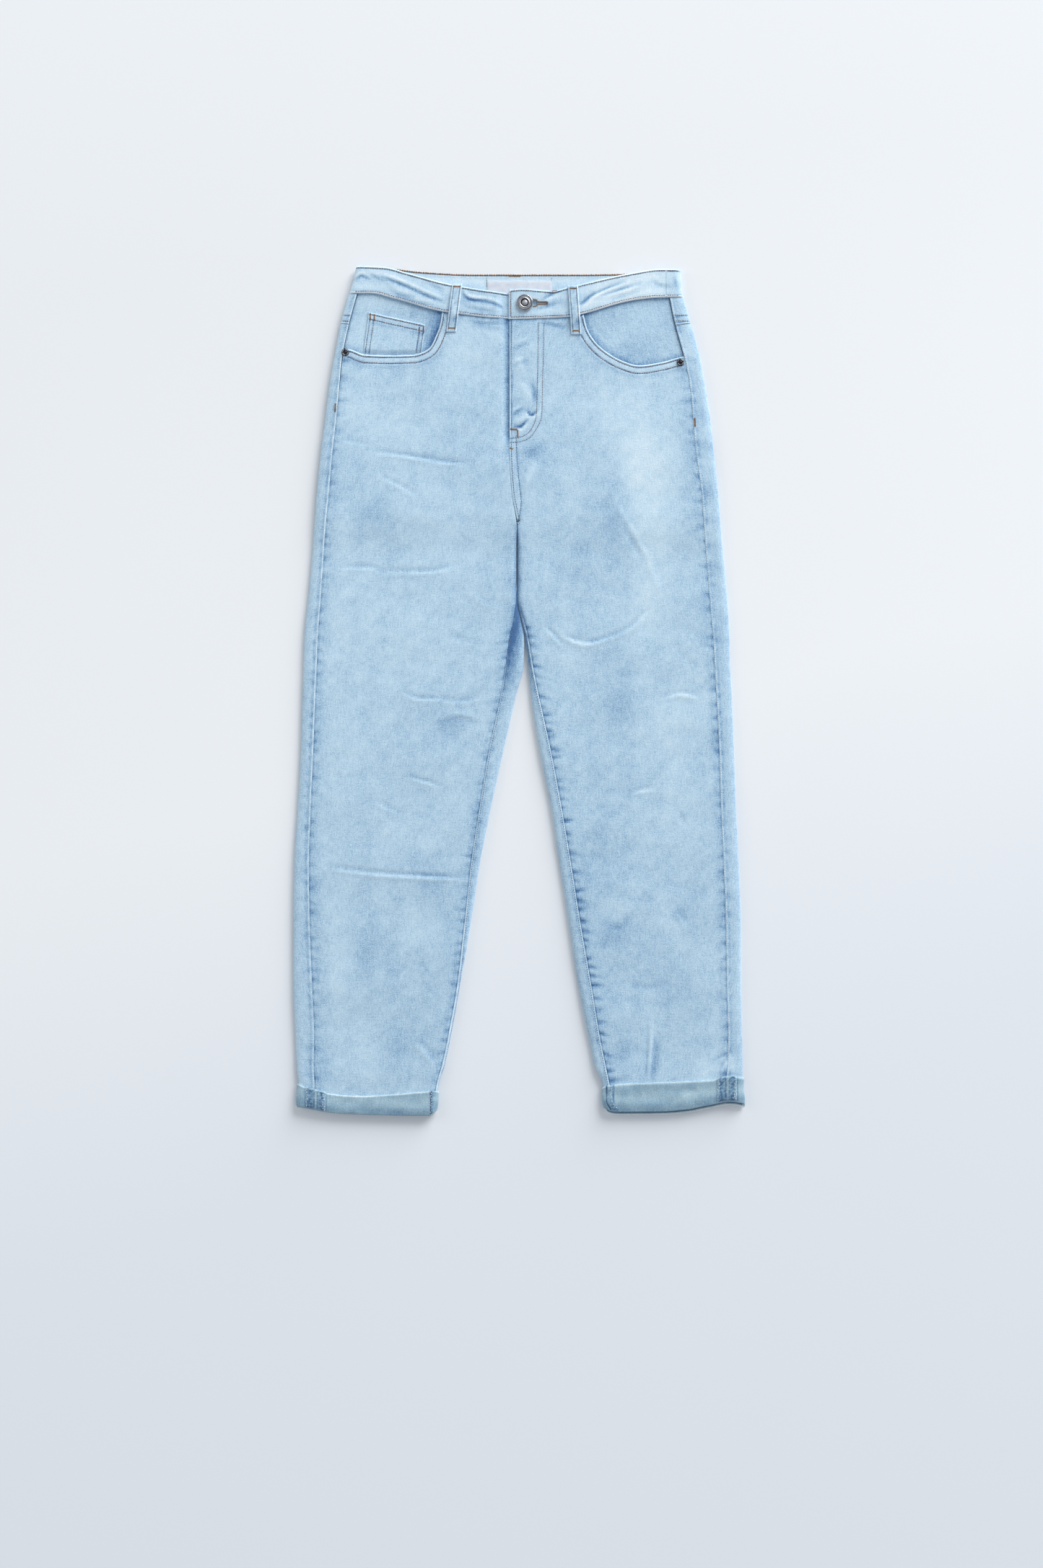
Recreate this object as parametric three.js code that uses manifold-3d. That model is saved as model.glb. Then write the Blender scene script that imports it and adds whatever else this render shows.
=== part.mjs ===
// Straight five-pocket jeans with turned-up cuffs, laid flat on their back with the front up.
// Millimetres, +Z up. x runs to the viewer's right and y towards the waist. The origin is at the
// middle of the flat outline, on the surface that the jeans lie on. Left and right are the viewer's.
import * as THREE from "three";
import { mergeVertices } from "three/addons/utils/BufferGeometryUtils.js";
import Module from "manifold-3d";

const wasm = await Module();
wasm.setup();

// Cloth and the gaps between pieces
const CLOTH = 1.4; // wall of one layer of denim
const GAP = 0.3; // pieces in a stack lie this far apart
const SEAM = 0.4; // and this far at a seam
const LAYER = CLOTH + GAP; // one layer up or down in a stack
const BAND = 2.0; // waistband, folded double
const TURN_UP = 1.5; // wall of a cuff

// How the two faces lie on each other
const REST_LIFT = 1.6; // room under the seat for the back pockets and back belt loops
const LOOP_HEIGHT = 6.6; // a leg from its underside to its top face
const HEM_LIFT = GAP + TURN_UP; // room under a hem for its cuff
const HEM_HEIGHT = 5.4;
const FOLD = 8; // how far in from a fold the top face starts to round down
const UNDER_FOLD = 4; // the same on the underside
const BAND_TOP = 9.1; // top of the front waistband
const UNDER_LAP_DROP = 2.3; // the end of the left band, under the right one
const UNDER_LAP_STEP = [-27, -14.5]; // where along x it steps down

// Each leg by height: x of the outer fold, the outseam, the front panel's inner edge (centre front,
// then the valley at the crotch, then the inseam) and the inner fold (above the crotch, centre back)
const LEFT_LEG = [
  { y: 470, outer: -191, outseam: -181, front: -11.5, inner: -2.5 },
  { y: 456, outer: -194.5, outseam: -184.5, front: -11.5, inner: -2.5 },
  { y: 425, outer: -203, outseam: -193, front: -11.5, inner: -2.5 },
  { y: 378, outer: -212, outseam: -202.5, front: -11.5, inner: -2.5 },
  { y: 345, outer: -217.5, outseam: -205.5, front: -11.5, inner: -2.5 },
  { y: 296, outer: -223.5, outseam: -210.5, front: -11.5, inner: -2.5 },
  { y: 279, outer: -226, outseam: -212.5, front: -11.5, inner: -2.5 },
  { y: 229, outer: -231, outseam: -217, front: -8.6, inner: -2.5 },
  { y: 188, outer: -234, outseam: -221, front: -2.9, inner: -2.5 },
  { y: 107, outer: -241, outseam: -226.5, front: -2.9, inner: -2.5 },
  { y: 82, outer: -244, outseam: -228.5, front: -6.5, inner: 1.9 },
  { y: 61, outer: -245.5, outseam: -230, front: -11.3, inner: 5.8 },
  { y: 32, outer: -246.5, outseam: -231, front: -15.5, inner: 5.0 },
  { y: 0, outer: -247.5, outseam: -232.5, front: -20.5, inner: -2.9 },
  { y: -66, outer: -249.5, outseam: -235, front: -34.5, inner: -18 },
  { y: -132, outer: -253, outseam: -238, front: -45.5, inner: -32.5 },
  { y: -198, outer: -257, outseam: -240, front: -55.5, inner: -45.5 },
  { y: -264, outer: -258, outseam: -239, front: -62.5, inner: -55.5 },
  { y: -330, outer: -258, outseam: -236.5, front: -69.5, inner: -67 },
  { y: -396, outer: -255.5, outseam: -234, front: -81, inner: -79 },
  { y: -428, outer: -254, outseam: -234.5, front: -88, inner: -86 },
  { y: -445, outer: -252, outseam: -233.5, front: -93, inner: -91.5 },
  { y: -490, outer: -253, outseam: -233.5, front: -98.5, inner: -97 },
];
const RIGHT_LEG = [
  { y: 470, outer: 183, outseam: 168, front: -11.5, inner: -2.5 },
  { y: 456, outer: 186, outseam: 170.5, front: -11.5, inner: -2.5 },
  { y: 425, outer: 194.5, outseam: 176.5, front: -11.5, inner: -2.5 },
  { y: 378, outer: 207, outseam: 189, front: -11.5, inner: -2.5 },
  { y: 345, outer: 213, outseam: 195, front: -11.5, inner: -2.5 },
  { y: 296, outer: 220, outseam: 199, front: -11.5, inner: -2.5 },
  { y: 279, outer: 221.5, outseam: 200.5, front: -11.5, inner: -2.5 },
  { y: 229, outer: 227, outseam: 207.5, front: -8.6, inner: -2.5 },
  { y: 188, outer: 230, outseam: 210.5, front: -2.1, inner: -2.5 },
  { y: 107, outer: 237.5, outseam: 217, front: -2.1, inner: -2.5 },
  { y: 82, outer: 239, outseam: 219, front: 4.4, inner: 2.6 },
  { y: 61, outer: 240, outseam: 221, front: 9.5, inner: 6.6 },
  { y: 32, outer: 240.5, outseam: 222.5, front: 14.5, inner: 10.2 },
  { y: 0, outer: 242.5, outseam: 224.5, front: 21.5, inner: 13 },
  { y: -66, outer: 245, outseam: 228, front: 36, inner: 23.5 },
  { y: -132, outer: 247.5, outseam: 230, front: 48.5, inner: 36.5 },
  { y: -198, outer: 250.5, outseam: 233, front: 59.5, inner: 46.5 },
  { y: -264, outer: 253, outseam: 235.5, front: 70, inner: 57 },
  { y: -330, outer: 253, outseam: 236.5, front: 81.5, inner: 67 },
  { y: -396, outer: 254.5, outseam: 238, front: 92.5, inner: 80 },
  { y: -428, outer: 255, outseam: 237, front: 99, inner: 87 },
  { y: -445, outer: 254.5, outseam: 236, front: 102.5, inner: 95 },
  { y: -490, outer: 257.6, outseam: 236, front: 110, inner: 98.5 },
];

// Height of the whole stack along the garment, and how round the inner side of a leg is: the top face
// rolls into the valley first, and the underside closes round the leg below it
const STACK = [
  { y: 500, lift: REST_LIFT, height: LOOP_HEIGHT, roll: 0.01, close: 0 },
  { y: 205, lift: REST_LIFT, height: LOOP_HEIGHT, roll: 0.01, close: 0 },
  { y: 188, lift: 1.1, height: LOOP_HEIGHT, roll: 0.05, close: 0 },
  { y: 158, lift: 0, height: LOOP_HEIGHT, roll: 1, close: 0 },
  { y: 138, lift: 0, height: LOOP_HEIGHT, roll: 1, close: 0 },
  { y: 107, lift: 0, height: LOOP_HEIGHT, roll: 1, close: 1 },
  { y: -410, lift: 0, height: LOOP_HEIGHT, roll: 1, close: 1 },
  { y: -440, lift: HEM_LIFT, height: HEM_HEIGHT, roll: 1, close: 1 },
  { y: -500, lift: HEM_LIFT, height: HEM_HEIGHT, roll: 1, close: 1 },
];

// The largest folds of the top face, each a soft ridge (height over 0) or trough from one end by a
// bend to the other
const FOLDS = [
  { from: [-204, 290], bend: [-188, 286], to: [-166, 284], width: 6, height: 0.8 },
  { from: [-160, 280], bend: [-136, 268], to: [-74, 262], width: 5, height: -1.2 },
  { from: [-158, 288], bend: [-132, 277], to: [-76, 272], width: 6, height: 1.0 },
  { from: [-155, 247], bend: [-136, 236], to: [-118, 225], width: 6, height: -0.9 },
  { from: [-204, 145], bend: [-111, 137], to: [-65, 148], width: 7, height: -0.8 },
  { from: [-133, 0], bend: [-104, -8], to: [-45, -5], width: 6, height: -1.1 },
  { from: [-95, -29], bend: [-75, -26], to: [-55, -29], width: 5, height: 0.9 },
  { from: [-125, -99], bend: [-106, -103], to: [-91, -105], width: 5, height: -0.8 },
  { from: [-218, -199], bend: [-170, -205], to: [-70, -209], width: 6, height: -1.7 },
  { from: [-214, -209], bend: [-165, -214], to: [-74, -217], width: 7, height: 1.3 },
  { from: [-116, -402], bend: [-106, -412], to: [-96, -424], width: 5, height: 0.9 },
  { from: [115, 198], bend: [132, 175], to: [154, 132], width: 7, height: 1.2 },
  { from: [52, 64], bend: [88, 62], to: [138, 90], width: 6, height: -1.6 },
  { from: [50, 55], bend: [90, 52], to: [142, 80], width: 7, height: 1.2 },
  { from: [26, 77], bend: [38, 66], to: [49, 56], width: 5, height: -0.8 },
  { from: [166, -10], bend: [184, -8], to: [202, -8], width: 5, height: 0.9 },
  { from: [128, -119], bend: [140, -116], to: [153, -112], width: 5, height: 0.8 },
  { from: [149, -385], bend: [147, -428], to: [144, -443], width: 6, height: 1.1 },
  { from: [19, 263], bend: [12, 245], to: [4, 230], width: 7, height: 0.9 },
];

// Waistband: its fold at each side, and its edges on the top face (x, y) from left to right
const BAND_SIDES = {
  left: { top: -185.5, bottom: -194 },
  right: { top: 184, bottom: 186.5 },
};
const LEFT_BAND_TOP = [[-186, 486.5], [-153, 485], [-128, 478.5], [-78, 465.5], [-12, 455.5], [24, 453]];
const LEFT_BAND_BOTTOM = [
  [-194, 455], [-169, 455], [-144.5, 449.5], [-83.5, 433.5], [-12, 426.5], [24, 428],
];
const RIGHT_BAND_TOP = [
  [-12, 459.5], [4, 460.5], [38, 458], [55, 462], [127, 478], [162, 483], [184, 482.5],
];
const RIGHT_BAND_BOTTOM = [
  [-12, 425.5], [30, 426.5], [56, 428], [70.5, 431], [130, 447], [157, 450], [187, 450.5],
];
const BACK_BAND_TOP = [
  [-186, 486.5], [-144, 484], [-114, 480.5], [-51, 477.5], [69, 477.5], [127, 478.5], [184, 482.5],
];
const BACK_BAND_BOTTOM = [[-194, 455], [-2.5, 446], [187, 450.5]];
const BAND_JOIN_LEFT = 40; // the left join, in from the fold, on the underside
const BAND_JOIN_RIGHT = 167.5; // the right join shows on the top face
const BAND_END = { left: 23, right: -12.2 }; // under-lap and over-lap at the button

// Front pockets: each opening runs from the outseam to the waistband
const LEFT_OPENING = [
  [-215, 392.5], [-194, 391.5], [-176, 385.5], [-148, 384.5], [-122, 385], [-104, 391.5], [-94, 409.5],
  [-90, 422], [-87, 445],
];
const RIGHT_OPENING = [
  [202, 385], [186, 383], [161, 376.5], [136, 373], [119, 377.5], [94, 392.5], [80, 409.5], [76, 419.5],
  [71, 445],
];
const [CUT_TOP, CUT_LOW, CUT_HIGH] = [480, 3, 16]; // how far the cuts for the openings reach
const FACING_HEM = 366; // facings end here, under the front panels
const FACING_INNER = { left: -76, right: 62 };
const [FACING_ROWS, FACING_COLUMNS] = [6, 8];
const COIN_POCKET = {
  topLeft: [-172, 434], topRight: [-107, 419.5], right: [-111.5, 390.5], left: [-178.5, 388], cloth: 1.0,
};

// Fly: its folded edge is the centre front line, and it ends at the bottom of the stitching
const FLY_END = 290;
const FLY_EDGE = -11.5;
const TUCK = 6; // the left front runs this far under the fly
const SHIELD = { left: -19, right: 26, bottom: 296 };
const ZIP = { left: -4, right: 20, top: 421, bottom: 304, tape: 0.8, chain: 6, slider: [8, 11] };

// Back: yoke seams dip from the outseams to the centre back seam
const YOKE_SIDE = 421;
const YOKE_CENTRE = 378;
const BACK_POCKET = { width: 142, height: 158, point: 22, top: 366, middle: 108, thick: 1.3, turn: 3 };

const BELT_LOOP = { width: 11.5, thick: 1.4, rise: 0.7 };
const FRONT_LOOPS = [
  { name: "belt_loop_front_left", top: [-70.8, 465.5], bottom: [-77.5, 411] },
  { name: "belt_loop_front_right", top: [61, 463.5], bottom: [65, 408] },
];
const BACK_LOOPS = [
  { name: "belt_loop_back_left", x: -122, top: 482 },
  { name: "belt_loop_back_centre", x: -2.5, top: 478 },
  { name: "belt_loop_back_right", x: 117, top: 479 },
];
const BACK_LOOP = { length: 54, thick: 1.3 };

const BUTTON = { x: 6.2, y: 444, radius: 9.45, shank: 2.6, cap: 3.0 };
const BUTTONHOLE = { eye: 3.3, slit: 1.2, end: 32, deep: 8 };
const RIVETS = [
  { name: "rivet_left", x: -198.3, y: 387.9 },
  { name: "rivet_right", x: 183.6, y: 376.6 },
];
const RIVET = { radius: 4.3, height: 1.9 };
const LABEL = { left: -36.6, right: 37.4, top: 470, bottom: 442, thick: 0.6 };

// Cuffs: edges on the top face (x, y), and how much lower the under layer of the fold hangs
const CUFFS = {
  left: {
    top: [
      [-254, -445], [-242, -450.5], [-221, -456], [-197, -459], [-178, -459.5], [-150, -458], [-94, -453],
    ],
    bottom: [
      [-256, -472], [-245, -473.5], [-225, -477.5], [-197, -480.5], [-102, -482.5], [-95, -480],
    ],
    allowances: [[-244, -221], [-104, -94]],
    underDrop: 4.3,
  },
  right: {
    top: [
      [96, -449], [107, -447], [135, -445], [189, -443], [216, -441.5], [246, -437.5], [256, -439],
    ],
    bottom: [
      [96, -470], [103, -477], [114, -478], [162, -477.5], [189, -475.5], [216, -470.5], [240, -466.5],
      [258, -469],
    ],
    allowances: [[225, 248], [99, 112]],
    underDrop: 5.5,
  },
};
const CUFF_LIP = 3; // the folded bottom edge, which covers the hem of the leg inside
const ALLOWANCE = 0.9; // how far a pressed seam allowance stands up from its cuff

const COLOURS = {
  denim: { color: "#a9c6dc", roughness: 0.88, metalness: 0 },
  facing: { color: "#a3c2da", roughness: 0.88, metalness: 0 },
  cuff: { color: "#8fb0c5", roughness: 0.92, metalness: 0 },
  silver: { color: "#8f959b", roughness: 0.38, metalness: 1 },
  gunmetal: { color: "#2b2e33", roughness: 0.42, metalness: 1 },
  label: { color: "#e6ebf1", roughness: 0.8, metalness: 0 },
  tape: { color: "#7f98b0", roughness: 0.85, metalness: 0 },
};

// Small maths
const mix = (a, b, t) => a + (b - a) * t;
const clamp = (v, low, high) => Math.min(high, Math.max(low, v));
const smooth = (from, to, v) => {
  const t = clamp((v - from) / (to - from), 0, 1);
  return t * t * (3 - 2 * t);
};
const steps = (count) => Array.from({ length: count + 1 }, (_, i) => i / count);
// The height of a circular rounding at a distance from its edge: 0 at the edge, 1 past the radius
const rounded = (distance, radius) => {
  const t = clamp(1 - distance / radius, 0, 1);
  return Math.sqrt(1 - t * t);
};

// A value read between the rows of a table, along a curve with no overshoot
function between(at, knots, values) {
  let i = 0;
  while (i < knots.length - 2 && at > knots[i + 1]) i += 1;
  const slope = (k) => (values[k + 1] - values[k]) / (knots[k + 1] - knots[k]);
  const tangent = (k) => {
    if (k === 0) return slope(0);
    if (k === knots.length - 1) return slope(k - 1);
    const [a, b] = [slope(k - 1), slope(k)];
    return a * b <= 0 ? 0 : (2 * a * b) / (a + b);
  };
  const h = knots[i + 1] - knots[i];
  const t = clamp((at - knots[i]) / h, 0, 1);
  const [t2, t3] = [t * t, t * t * t];
  return (
    (2 * t3 - 3 * t2 + 1) * values[i] + (t3 - 2 * t2 + t) * h * tangent(i) +
    (3 * t2 - 2 * t3) * values[i + 1] + (t3 - t2) * h * tangent(i + 1)
  );
}

function reader(table) {
  const rows = [...table].sort((a, b) => a.y - b.y);
  const knots = rows.map((row) => row.y);
  const columns = Object.keys(rows[0]).filter((name) => name !== "y");
  return (y) => Object.fromEntries(
    columns.map((name) => [name, between(y, knots, rows.map((row) => row[name]))]),
  );
}

// The y of an edge, given as (x, y) points, at any x
function edge(points) {
  const knots = points.map((point) => point[0]);
  return (x) => between(x, knots, points.map((point) => point[1]));
}

// The same with straight sides between the points
function straight(points) {
  return (x) => {
    let i = 0;
    while (i < points.length - 2 && x > points[i + 1][0]) i += 1;
    const [a, b] = [points[i], points[i + 1]];
    return mix(a[1], b[1], clamp((x - a[0]) / (b[0] - a[0]), 0, 1));
  };
}

const stackAt = reader(STACK);
const LEGS = {
  left: { at: reader(LEFT_LEG), inward: 1 },
  right: { at: reader(RIGHT_LEG), inward: -1 },
};

// How far the top face stands up or sinks at a place, from all its folds
function relief(x, y) {
  let sum = 0;
  for (const fold of FOLDS) {
    const points = [fold.from, fold.bend, fold.to];
    let best = Infinity;
    let along = 0;
    for (let i = 0; i < 2; i += 1) {
      const [a, b] = [points[i], points[i + 1]];
      const run = [b[0] - a[0], b[1] - a[1]];
      const t = clamp(((x - a[0]) * run[0] + (y - a[1]) * run[1]) / (run[0] ** 2 + run[1] ** 2), 0, 1);
      const away = Math.hypot(x - a[0] - t * run[0], y - a[1] - t * run[1]);
      if (away < best) {
        best = away;
        along = (i + t) / 2;
      }
    }
    const taper = Math.sin(Math.PI * clamp(along * 0.9 + 0.05, 0, 1));
    sum += fold.height * taper * Math.exp(-((best / fold.width) ** 2));
  }
  return sum;
}

// One section across a leg, as a path: over the top face from the outseam, round the inner fold,
// along the underside and round the outer fold to the outseam again. Each point is { x, z }.
const ARC = 6;
function section(leg, y) {
  const at = leg.at(y);
  const stack = stackAt(y);
  const wide = Math.abs(at.inner - at.outer);
  const seam = Math.abs(at.outseam - at.outer);
  const middle = stack.height / 2;
  const roll = FOLD * stack.roll;
  const close = Math.max(0.05, UNDER_FOLD * stack.close);
  const place = (q, up) => {
    const x = at.outer + leg.inward * q;
    const shape = rounded(q, FOLD) * (stack.roll < 0.02 ? 1 : rounded(wide - q, roll));
    const lowered = rounded(q, UNDER_FOLD) * rounded(wide - q, close);
    const z = up ? middle + (stack.height - middle) * shape + relief(x, y) * shape : middle * (1 - lowered);
    return { x, z: z + stack.lift };
  };
  const quarter = (count) => steps(count).map((t) => (t * Math.PI) / 2);
  // Above the crotch the right leg's face goes on past the middle, to the edge of the fly
  const faceEnd = Math.max(wide - roll, stack.roll > 0.05 ? 0 : Math.abs(at.front - at.outer));
  const front = steps(24).map((t) => place(mix(seam, faceEnd, t), true));
  const inner = quarter(ARC).slice(1).map((a) => place(wide - roll * (1 - Math.cos(Math.PI / 2 - a)), true));
  const under = quarter(ARC).slice(1).map((a) => place(wide - close * (1 - Math.cos(a)), false));
  const flat = steps(2).slice(1).map((t) => place(mix(wide - close, UNDER_FOLD, t), false));
  const outer = quarter(ARC).slice(1).map((a) => place(UNDER_FOLD * (1 - Math.cos(Math.PI / 2 - a)), false));
  const over = quarter(ARC).slice(1).map((a) => place(FOLD * (1 - Math.cos(a)), true));
  const strip = seam > FOLD ? [place(seam, true)] : [];
  const back = [...inner, ...under, ...flat, ...outer, ...over, ...strip];
  return { at, stack, wide, roll, front, back };
}

// Lengths along a path, and the point at any of them
const WAY_STEP = 0.7;
function measured(points) {
  const lengths = [0];
  points.slice(1).forEach((point, i) => {
    lengths.push(lengths[i] + Math.hypot(point.x - points[i].x, point.z - points[i].z));
  });
  const total = lengths[lengths.length - 1];
  const point = (length) => {
    let i = 0;
    while (i < lengths.length - 2 && length > lengths[i + 1]) i += 1;
    const run = lengths[i + 1] - lengths[i];
    const t = run > 1e-9 ? clamp((length - lengths[i]) / run, 0, 1) : 0;
    return { x: mix(points[i].x, points[i + 1].x, t), z: mix(points[i].z, points[i + 1].z, t) };
  };
  // A point with the direction of the path there, as way
  const facing = (length) => {
    const [before, after] = [point(length - WAY_STEP), point(length + WAY_STEP)];
    const run = Math.hypot(after.x - before.x, after.z - before.z);
    return { ...point(length), way: [(after.x - before.x) / run, (after.z - before.z) / run] };
  };
  return { total, point, facing };
}

// The length along a section's whole path at which the front panel ends and the back panel starts
function seams(cut) {
  const whole = measured([...cut.front, ...cut.back]);
  const topFace = measured(cut.front).total;
  const toFold = measured([...cut.front, ...cut.back.slice(0, ARC)]).total;
  const toUnder = measured([...cut.front, ...cut.back.slice(0, 2 * ARC)]).total;
  const reach = cut.wide - Math.abs(cut.at.front - cut.at.outer); // from the inner fold back to the edge
  const angle = Math.acos(clamp(1 - reach / cut.roll, -1, 1));
  const turned = topFace + (toFold - topFace) * (1 - angle / (Math.PI / 2));
  const frontEnd = reach < 0 ? topFace : reach > cut.roll ? topFace - (reach - cut.roll) : turned;
  return { whole, toFold, toUnder, frontEnd: Math.min(frontEnd, toFold - SEAM) };
}

// Points spaced along a leg's section, for the front panel (from the outseam in) and for the back panel
// (from the inseam or centre back round to the outseam)
const FRONT_COLUMNS = 11;
function frontRow(leg, y, tuck) {
  const cut = section(leg, y);
  const seam = seams(cut);
  const end = seam.frontEnd - SEAM / 2;
  return steps(FRONT_COLUMNS).map((t) => {
    const point = seam.whole.facing(mix(SEAM / 2, end, 1 - (1 - t) ** 1.25));
    return { ...point, x: point.x + tuck * smooth(0.6, 1, t), y };
  });
}

const BACK_COLUMNS = { strip: 2, under: 3, flat: 4, outer: 3, over: 3, seam: 1 };
function backStations(cut, seam) {
  const path = seam.whole;
  const closed = cut.stack.close;
  const start = mix(seam.toUnder + SEAM / 2, seam.frontEnd + SEAM / 2, closed);
  const flatEnd = seam.toUnder + measured(cut.back.slice(2 * ARC - 1, 2 * ARC + 2)).total;
  const outerEnd = flatEnd + measured(cut.back.slice(2 * ARC + 1, 3 * ARC + 2)).total;
  const overEnd = outerEnd + measured(cut.back.slice(3 * ARC + 1, 4 * ARC + 2)).total;
  const end = path.total - SEAM / 2;
  const c = BACK_COLUMNS;
  const spread = (from, to, count) => steps(count).slice(1).map((t) => mix(from, to, t));
  const inner = c.strip + c.under + c.flat;
  const folded = [
    start, ...spread(start, seam.toFold, c.strip), ...spread(seam.toFold, seam.toUnder, c.under),
    ...spread(seam.toUnder, flatEnd, c.flat),
  ];
  const open = [start, ...spread(start, flatEnd, inner)];
  const outer = [...spread(flatEnd, outerEnd, c.outer), ...spread(outerEnd, overEnd, c.over)];
  return [...folded.map((s, i) => mix(open[i], s, closed)), ...outer, Math.max(end, overEnd + 0.5)];
}
function backRow(leg, y) {
  const cut = section(leg, y);
  const seam = seams(cut);
  return backStations(cut, seam).map((length) => ({ ...seam.whole.facing(length), y }));
}

// A row of points moved along the normals of its own section, to the left of the way it runs
function movedIn(row, distance) {
  return row.map((point, i) => {
    const before = row[Math.max(0, i - 1)];
    const after = row[Math.min(row.length - 1, i + 1)];
    const run = Math.hypot(after.x - before.x, after.z - before.z);
    const [dx, dz] = point.way ?? [(after.x - before.x) / run, (after.z - before.z) / run];
    return { x: point.x - dz * distance, y: point.y, z: point.z + dx * distance };
  });
}

// A closed solid between two grids of points of the same size. ring joins the last column to the first.
function wallGeometry(outside, inside, ring = false) {
  const rows = outside.length;
  const columns = outside[0].length;
  const flat = [...outside, ...inside].flat();
  const positions = flat.flatMap((point) => [point.x, point.y, point.z]);
  const id = (side, r, c) => (side * rows + r) * columns + (c % columns);
  const faces = [];
  const quad = (a, b, c, d) => faces.push(a, b, c, a, c, d);
  const across = ring ? columns : columns - 1;
  for (let r = 0; r < rows - 1; r += 1) {
    for (let c = 0; c < across; c += 1) {
      quad(id(0, r, c), id(0, r, c + 1), id(0, r + 1, c + 1), id(0, r + 1, c));
      quad(id(1, r, c), id(1, r + 1, c), id(1, r + 1, c + 1), id(1, r, c + 1));
    }
  }
  for (let c = 0; c < across; c += 1) {
    quad(id(0, 0, c), id(1, 0, c), id(1, 0, c + 1), id(0, 0, c + 1));
    quad(id(0, rows - 1, c), id(0, rows - 1, c + 1), id(1, rows - 1, c + 1), id(1, rows - 1, c));
  }
  if (!ring) {
    for (let r = 0; r < rows - 1; r += 1) {
      quad(id(0, r, 0), id(0, r + 1, 0), id(1, r + 1, 0), id(1, r, 0));
      const end = columns - 1;
      quad(id(0, r, end), id(1, r, end), id(1, r + 1, end), id(0, r + 1, end));
    }
  }
  const geometry = new THREE.BufferGeometry();
  geometry.setAttribute("position", new THREE.Float32BufferAttribute(positions, 3));
  geometry.setIndex(volume(positions, faces) < 0 ? faces.reverse() : faces);
  return geometry;
}

function volume(positions, faces) {
  const corner = (i) => new THREE.Vector3(...positions.slice(3 * i, 3 * i + 3));
  let sum = 0;
  for (let i = 0; i < faces.length; i += 3) {
    sum += corner(faces[i]).dot(corner(faces[i + 1]).cross(corner(faces[i + 2])));
  }
  return sum / 6;
}

// Joins and cuts
function solid(geometry) {
  const bare = geometry.clone();
  bare.deleteAttribute("normal");
  bare.deleteAttribute("uv");
  const merged = mergeVertices(bare, 1e-4);
  return new wasm.Manifold(new wasm.Mesh({
    numProp: 3,
    vertProperties: Float32Array.from(merged.attributes.position.array),
    triVerts: Uint32Array.from(merged.index.array),
  }));
}

function geometryOf(manifold) {
  const mesh = manifold.getMesh();
  const geometry = new THREE.BufferGeometry();
  geometry.setAttribute("position", new THREE.BufferAttribute(Float32Array.from(mesh.vertProperties), 3));
  geometry.setIndex(Array.from(mesh.triVerts));
  return geometry;
}

// A flat plate from an outline of (x, y) points, between two heights
function plate(points, low, high) {
  const shape = new THREE.Shape(points.map(([x, y]) => new THREE.Vector2(x, y)));
  const geometry = new THREE.ExtrudeGeometry(shape, { depth: high - low, bevelEnabled: false });
  return geometry.translate(0, 0, low);
}

// A patch of cloth on the top face: corners joined by straight sides, raised from the face's points
function topHeight(x, y) {
  const side = x < (FLY_EDGE + GAP) ? LEGS.left : LEGS.right;
  const at = side.at(y);
  const q = Math.abs(x - at.outer);
  return stackAt(y).lift + LOOP_HEIGHT / 2 + (LOOP_HEIGHT / 2 + relief(x, y)) * rounded(q, FOLD);
}
function patch(leftSide, rightSide, columns, rows, raised, thick) {
  const grid = (up) => steps(rows).map((v) => steps(columns).map((u) => {
    const [left, right] = [leftSide(v), rightSide(v)];
    const [x, y] = [mix(left[0], right[0], u), mix(left[1], right[1], u)];
    return { x, y, z: topHeight(x, y) + up };
  }));
  return wallGeometry(grid(raised), grid(raised - thick));
}

// Front panels
const SEAM_EASE = 0.5; // under the waistband, whose edge is curved
const leftBandBottom = edge(LEFT_BAND_BOTTOM);
const rightBandBottom = edge(RIGHT_BAND_BOTTOM);
const hemOf = { left: edge(CUFFS.left.bottom), right: edge(CUFFS.right.bottom) };
const bandLine = { left: leftBandBottom, right: rightBandBottom };
const HEM_IN = CUFF_LIP + 3 * GAP; // the legs end this far above the folded edge of the cuffs
const RISE_BOTTOM = 300; // rows are level from here down
const HEM_TOP = -405; // and follow the hem from here

const LEG_ROWS = [
  188, 172, 158, 142, 130, 107, 94, 82, 70, 61, 50, 32, 12, -8, -30, -66, -100, -132, -165, -190, -201,
  -213, -230, -264, -297, -330, -363, -396, -418, -430, -442, -460,
];
const FRONT_ROWS = [
  425, 408, 392, 376, 360, 345, 330, 315, 296, 288, 280, 271, 262, 250, 238, 225, 205, ...LEG_ROWS,
];
const BACK_ROWS = [400, 384, 368, 352, 335, 315, 296, 271, 250, 225, 205, ...LEG_ROWS];

// The height at which one column of a panel meets a line across it
function meets(line, rowAt, column, from) {
  let y = from;
  for (let turn = 0; turn < 4; turn += 1) y = line(rowAt(y)[column].x);
  return y;
}

// Rows that follow the seam line at the top and the hem at the bottom, and are level between
function columnGrid(levels, rowAt, topLine, hemLine) {
  const first = levels[0];
  const last = levels[levels.length - 1];
  const columns = rowAt(first).length;
  const tops = steps(columns - 1).map((_, j) => meets(topLine, rowAt, j, first) - SEAM_EASE);
  const hems = steps(columns - 1).map((_, j) => meets(hemLine, rowAt, j, last) + HEM_IN);
  return levels.map((level) => tops.map((top, j) => {
    const above = clamp((level - RISE_BOTTOM) / (first - RISE_BOTTOM), 0, 1);
    const below = clamp((HEM_TOP - level) / (HEM_TOP - last), 0, 1);
    return rowAt(level + (top - first) * above + (hems[j] - last) * below)[j];
  }));
}

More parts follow.
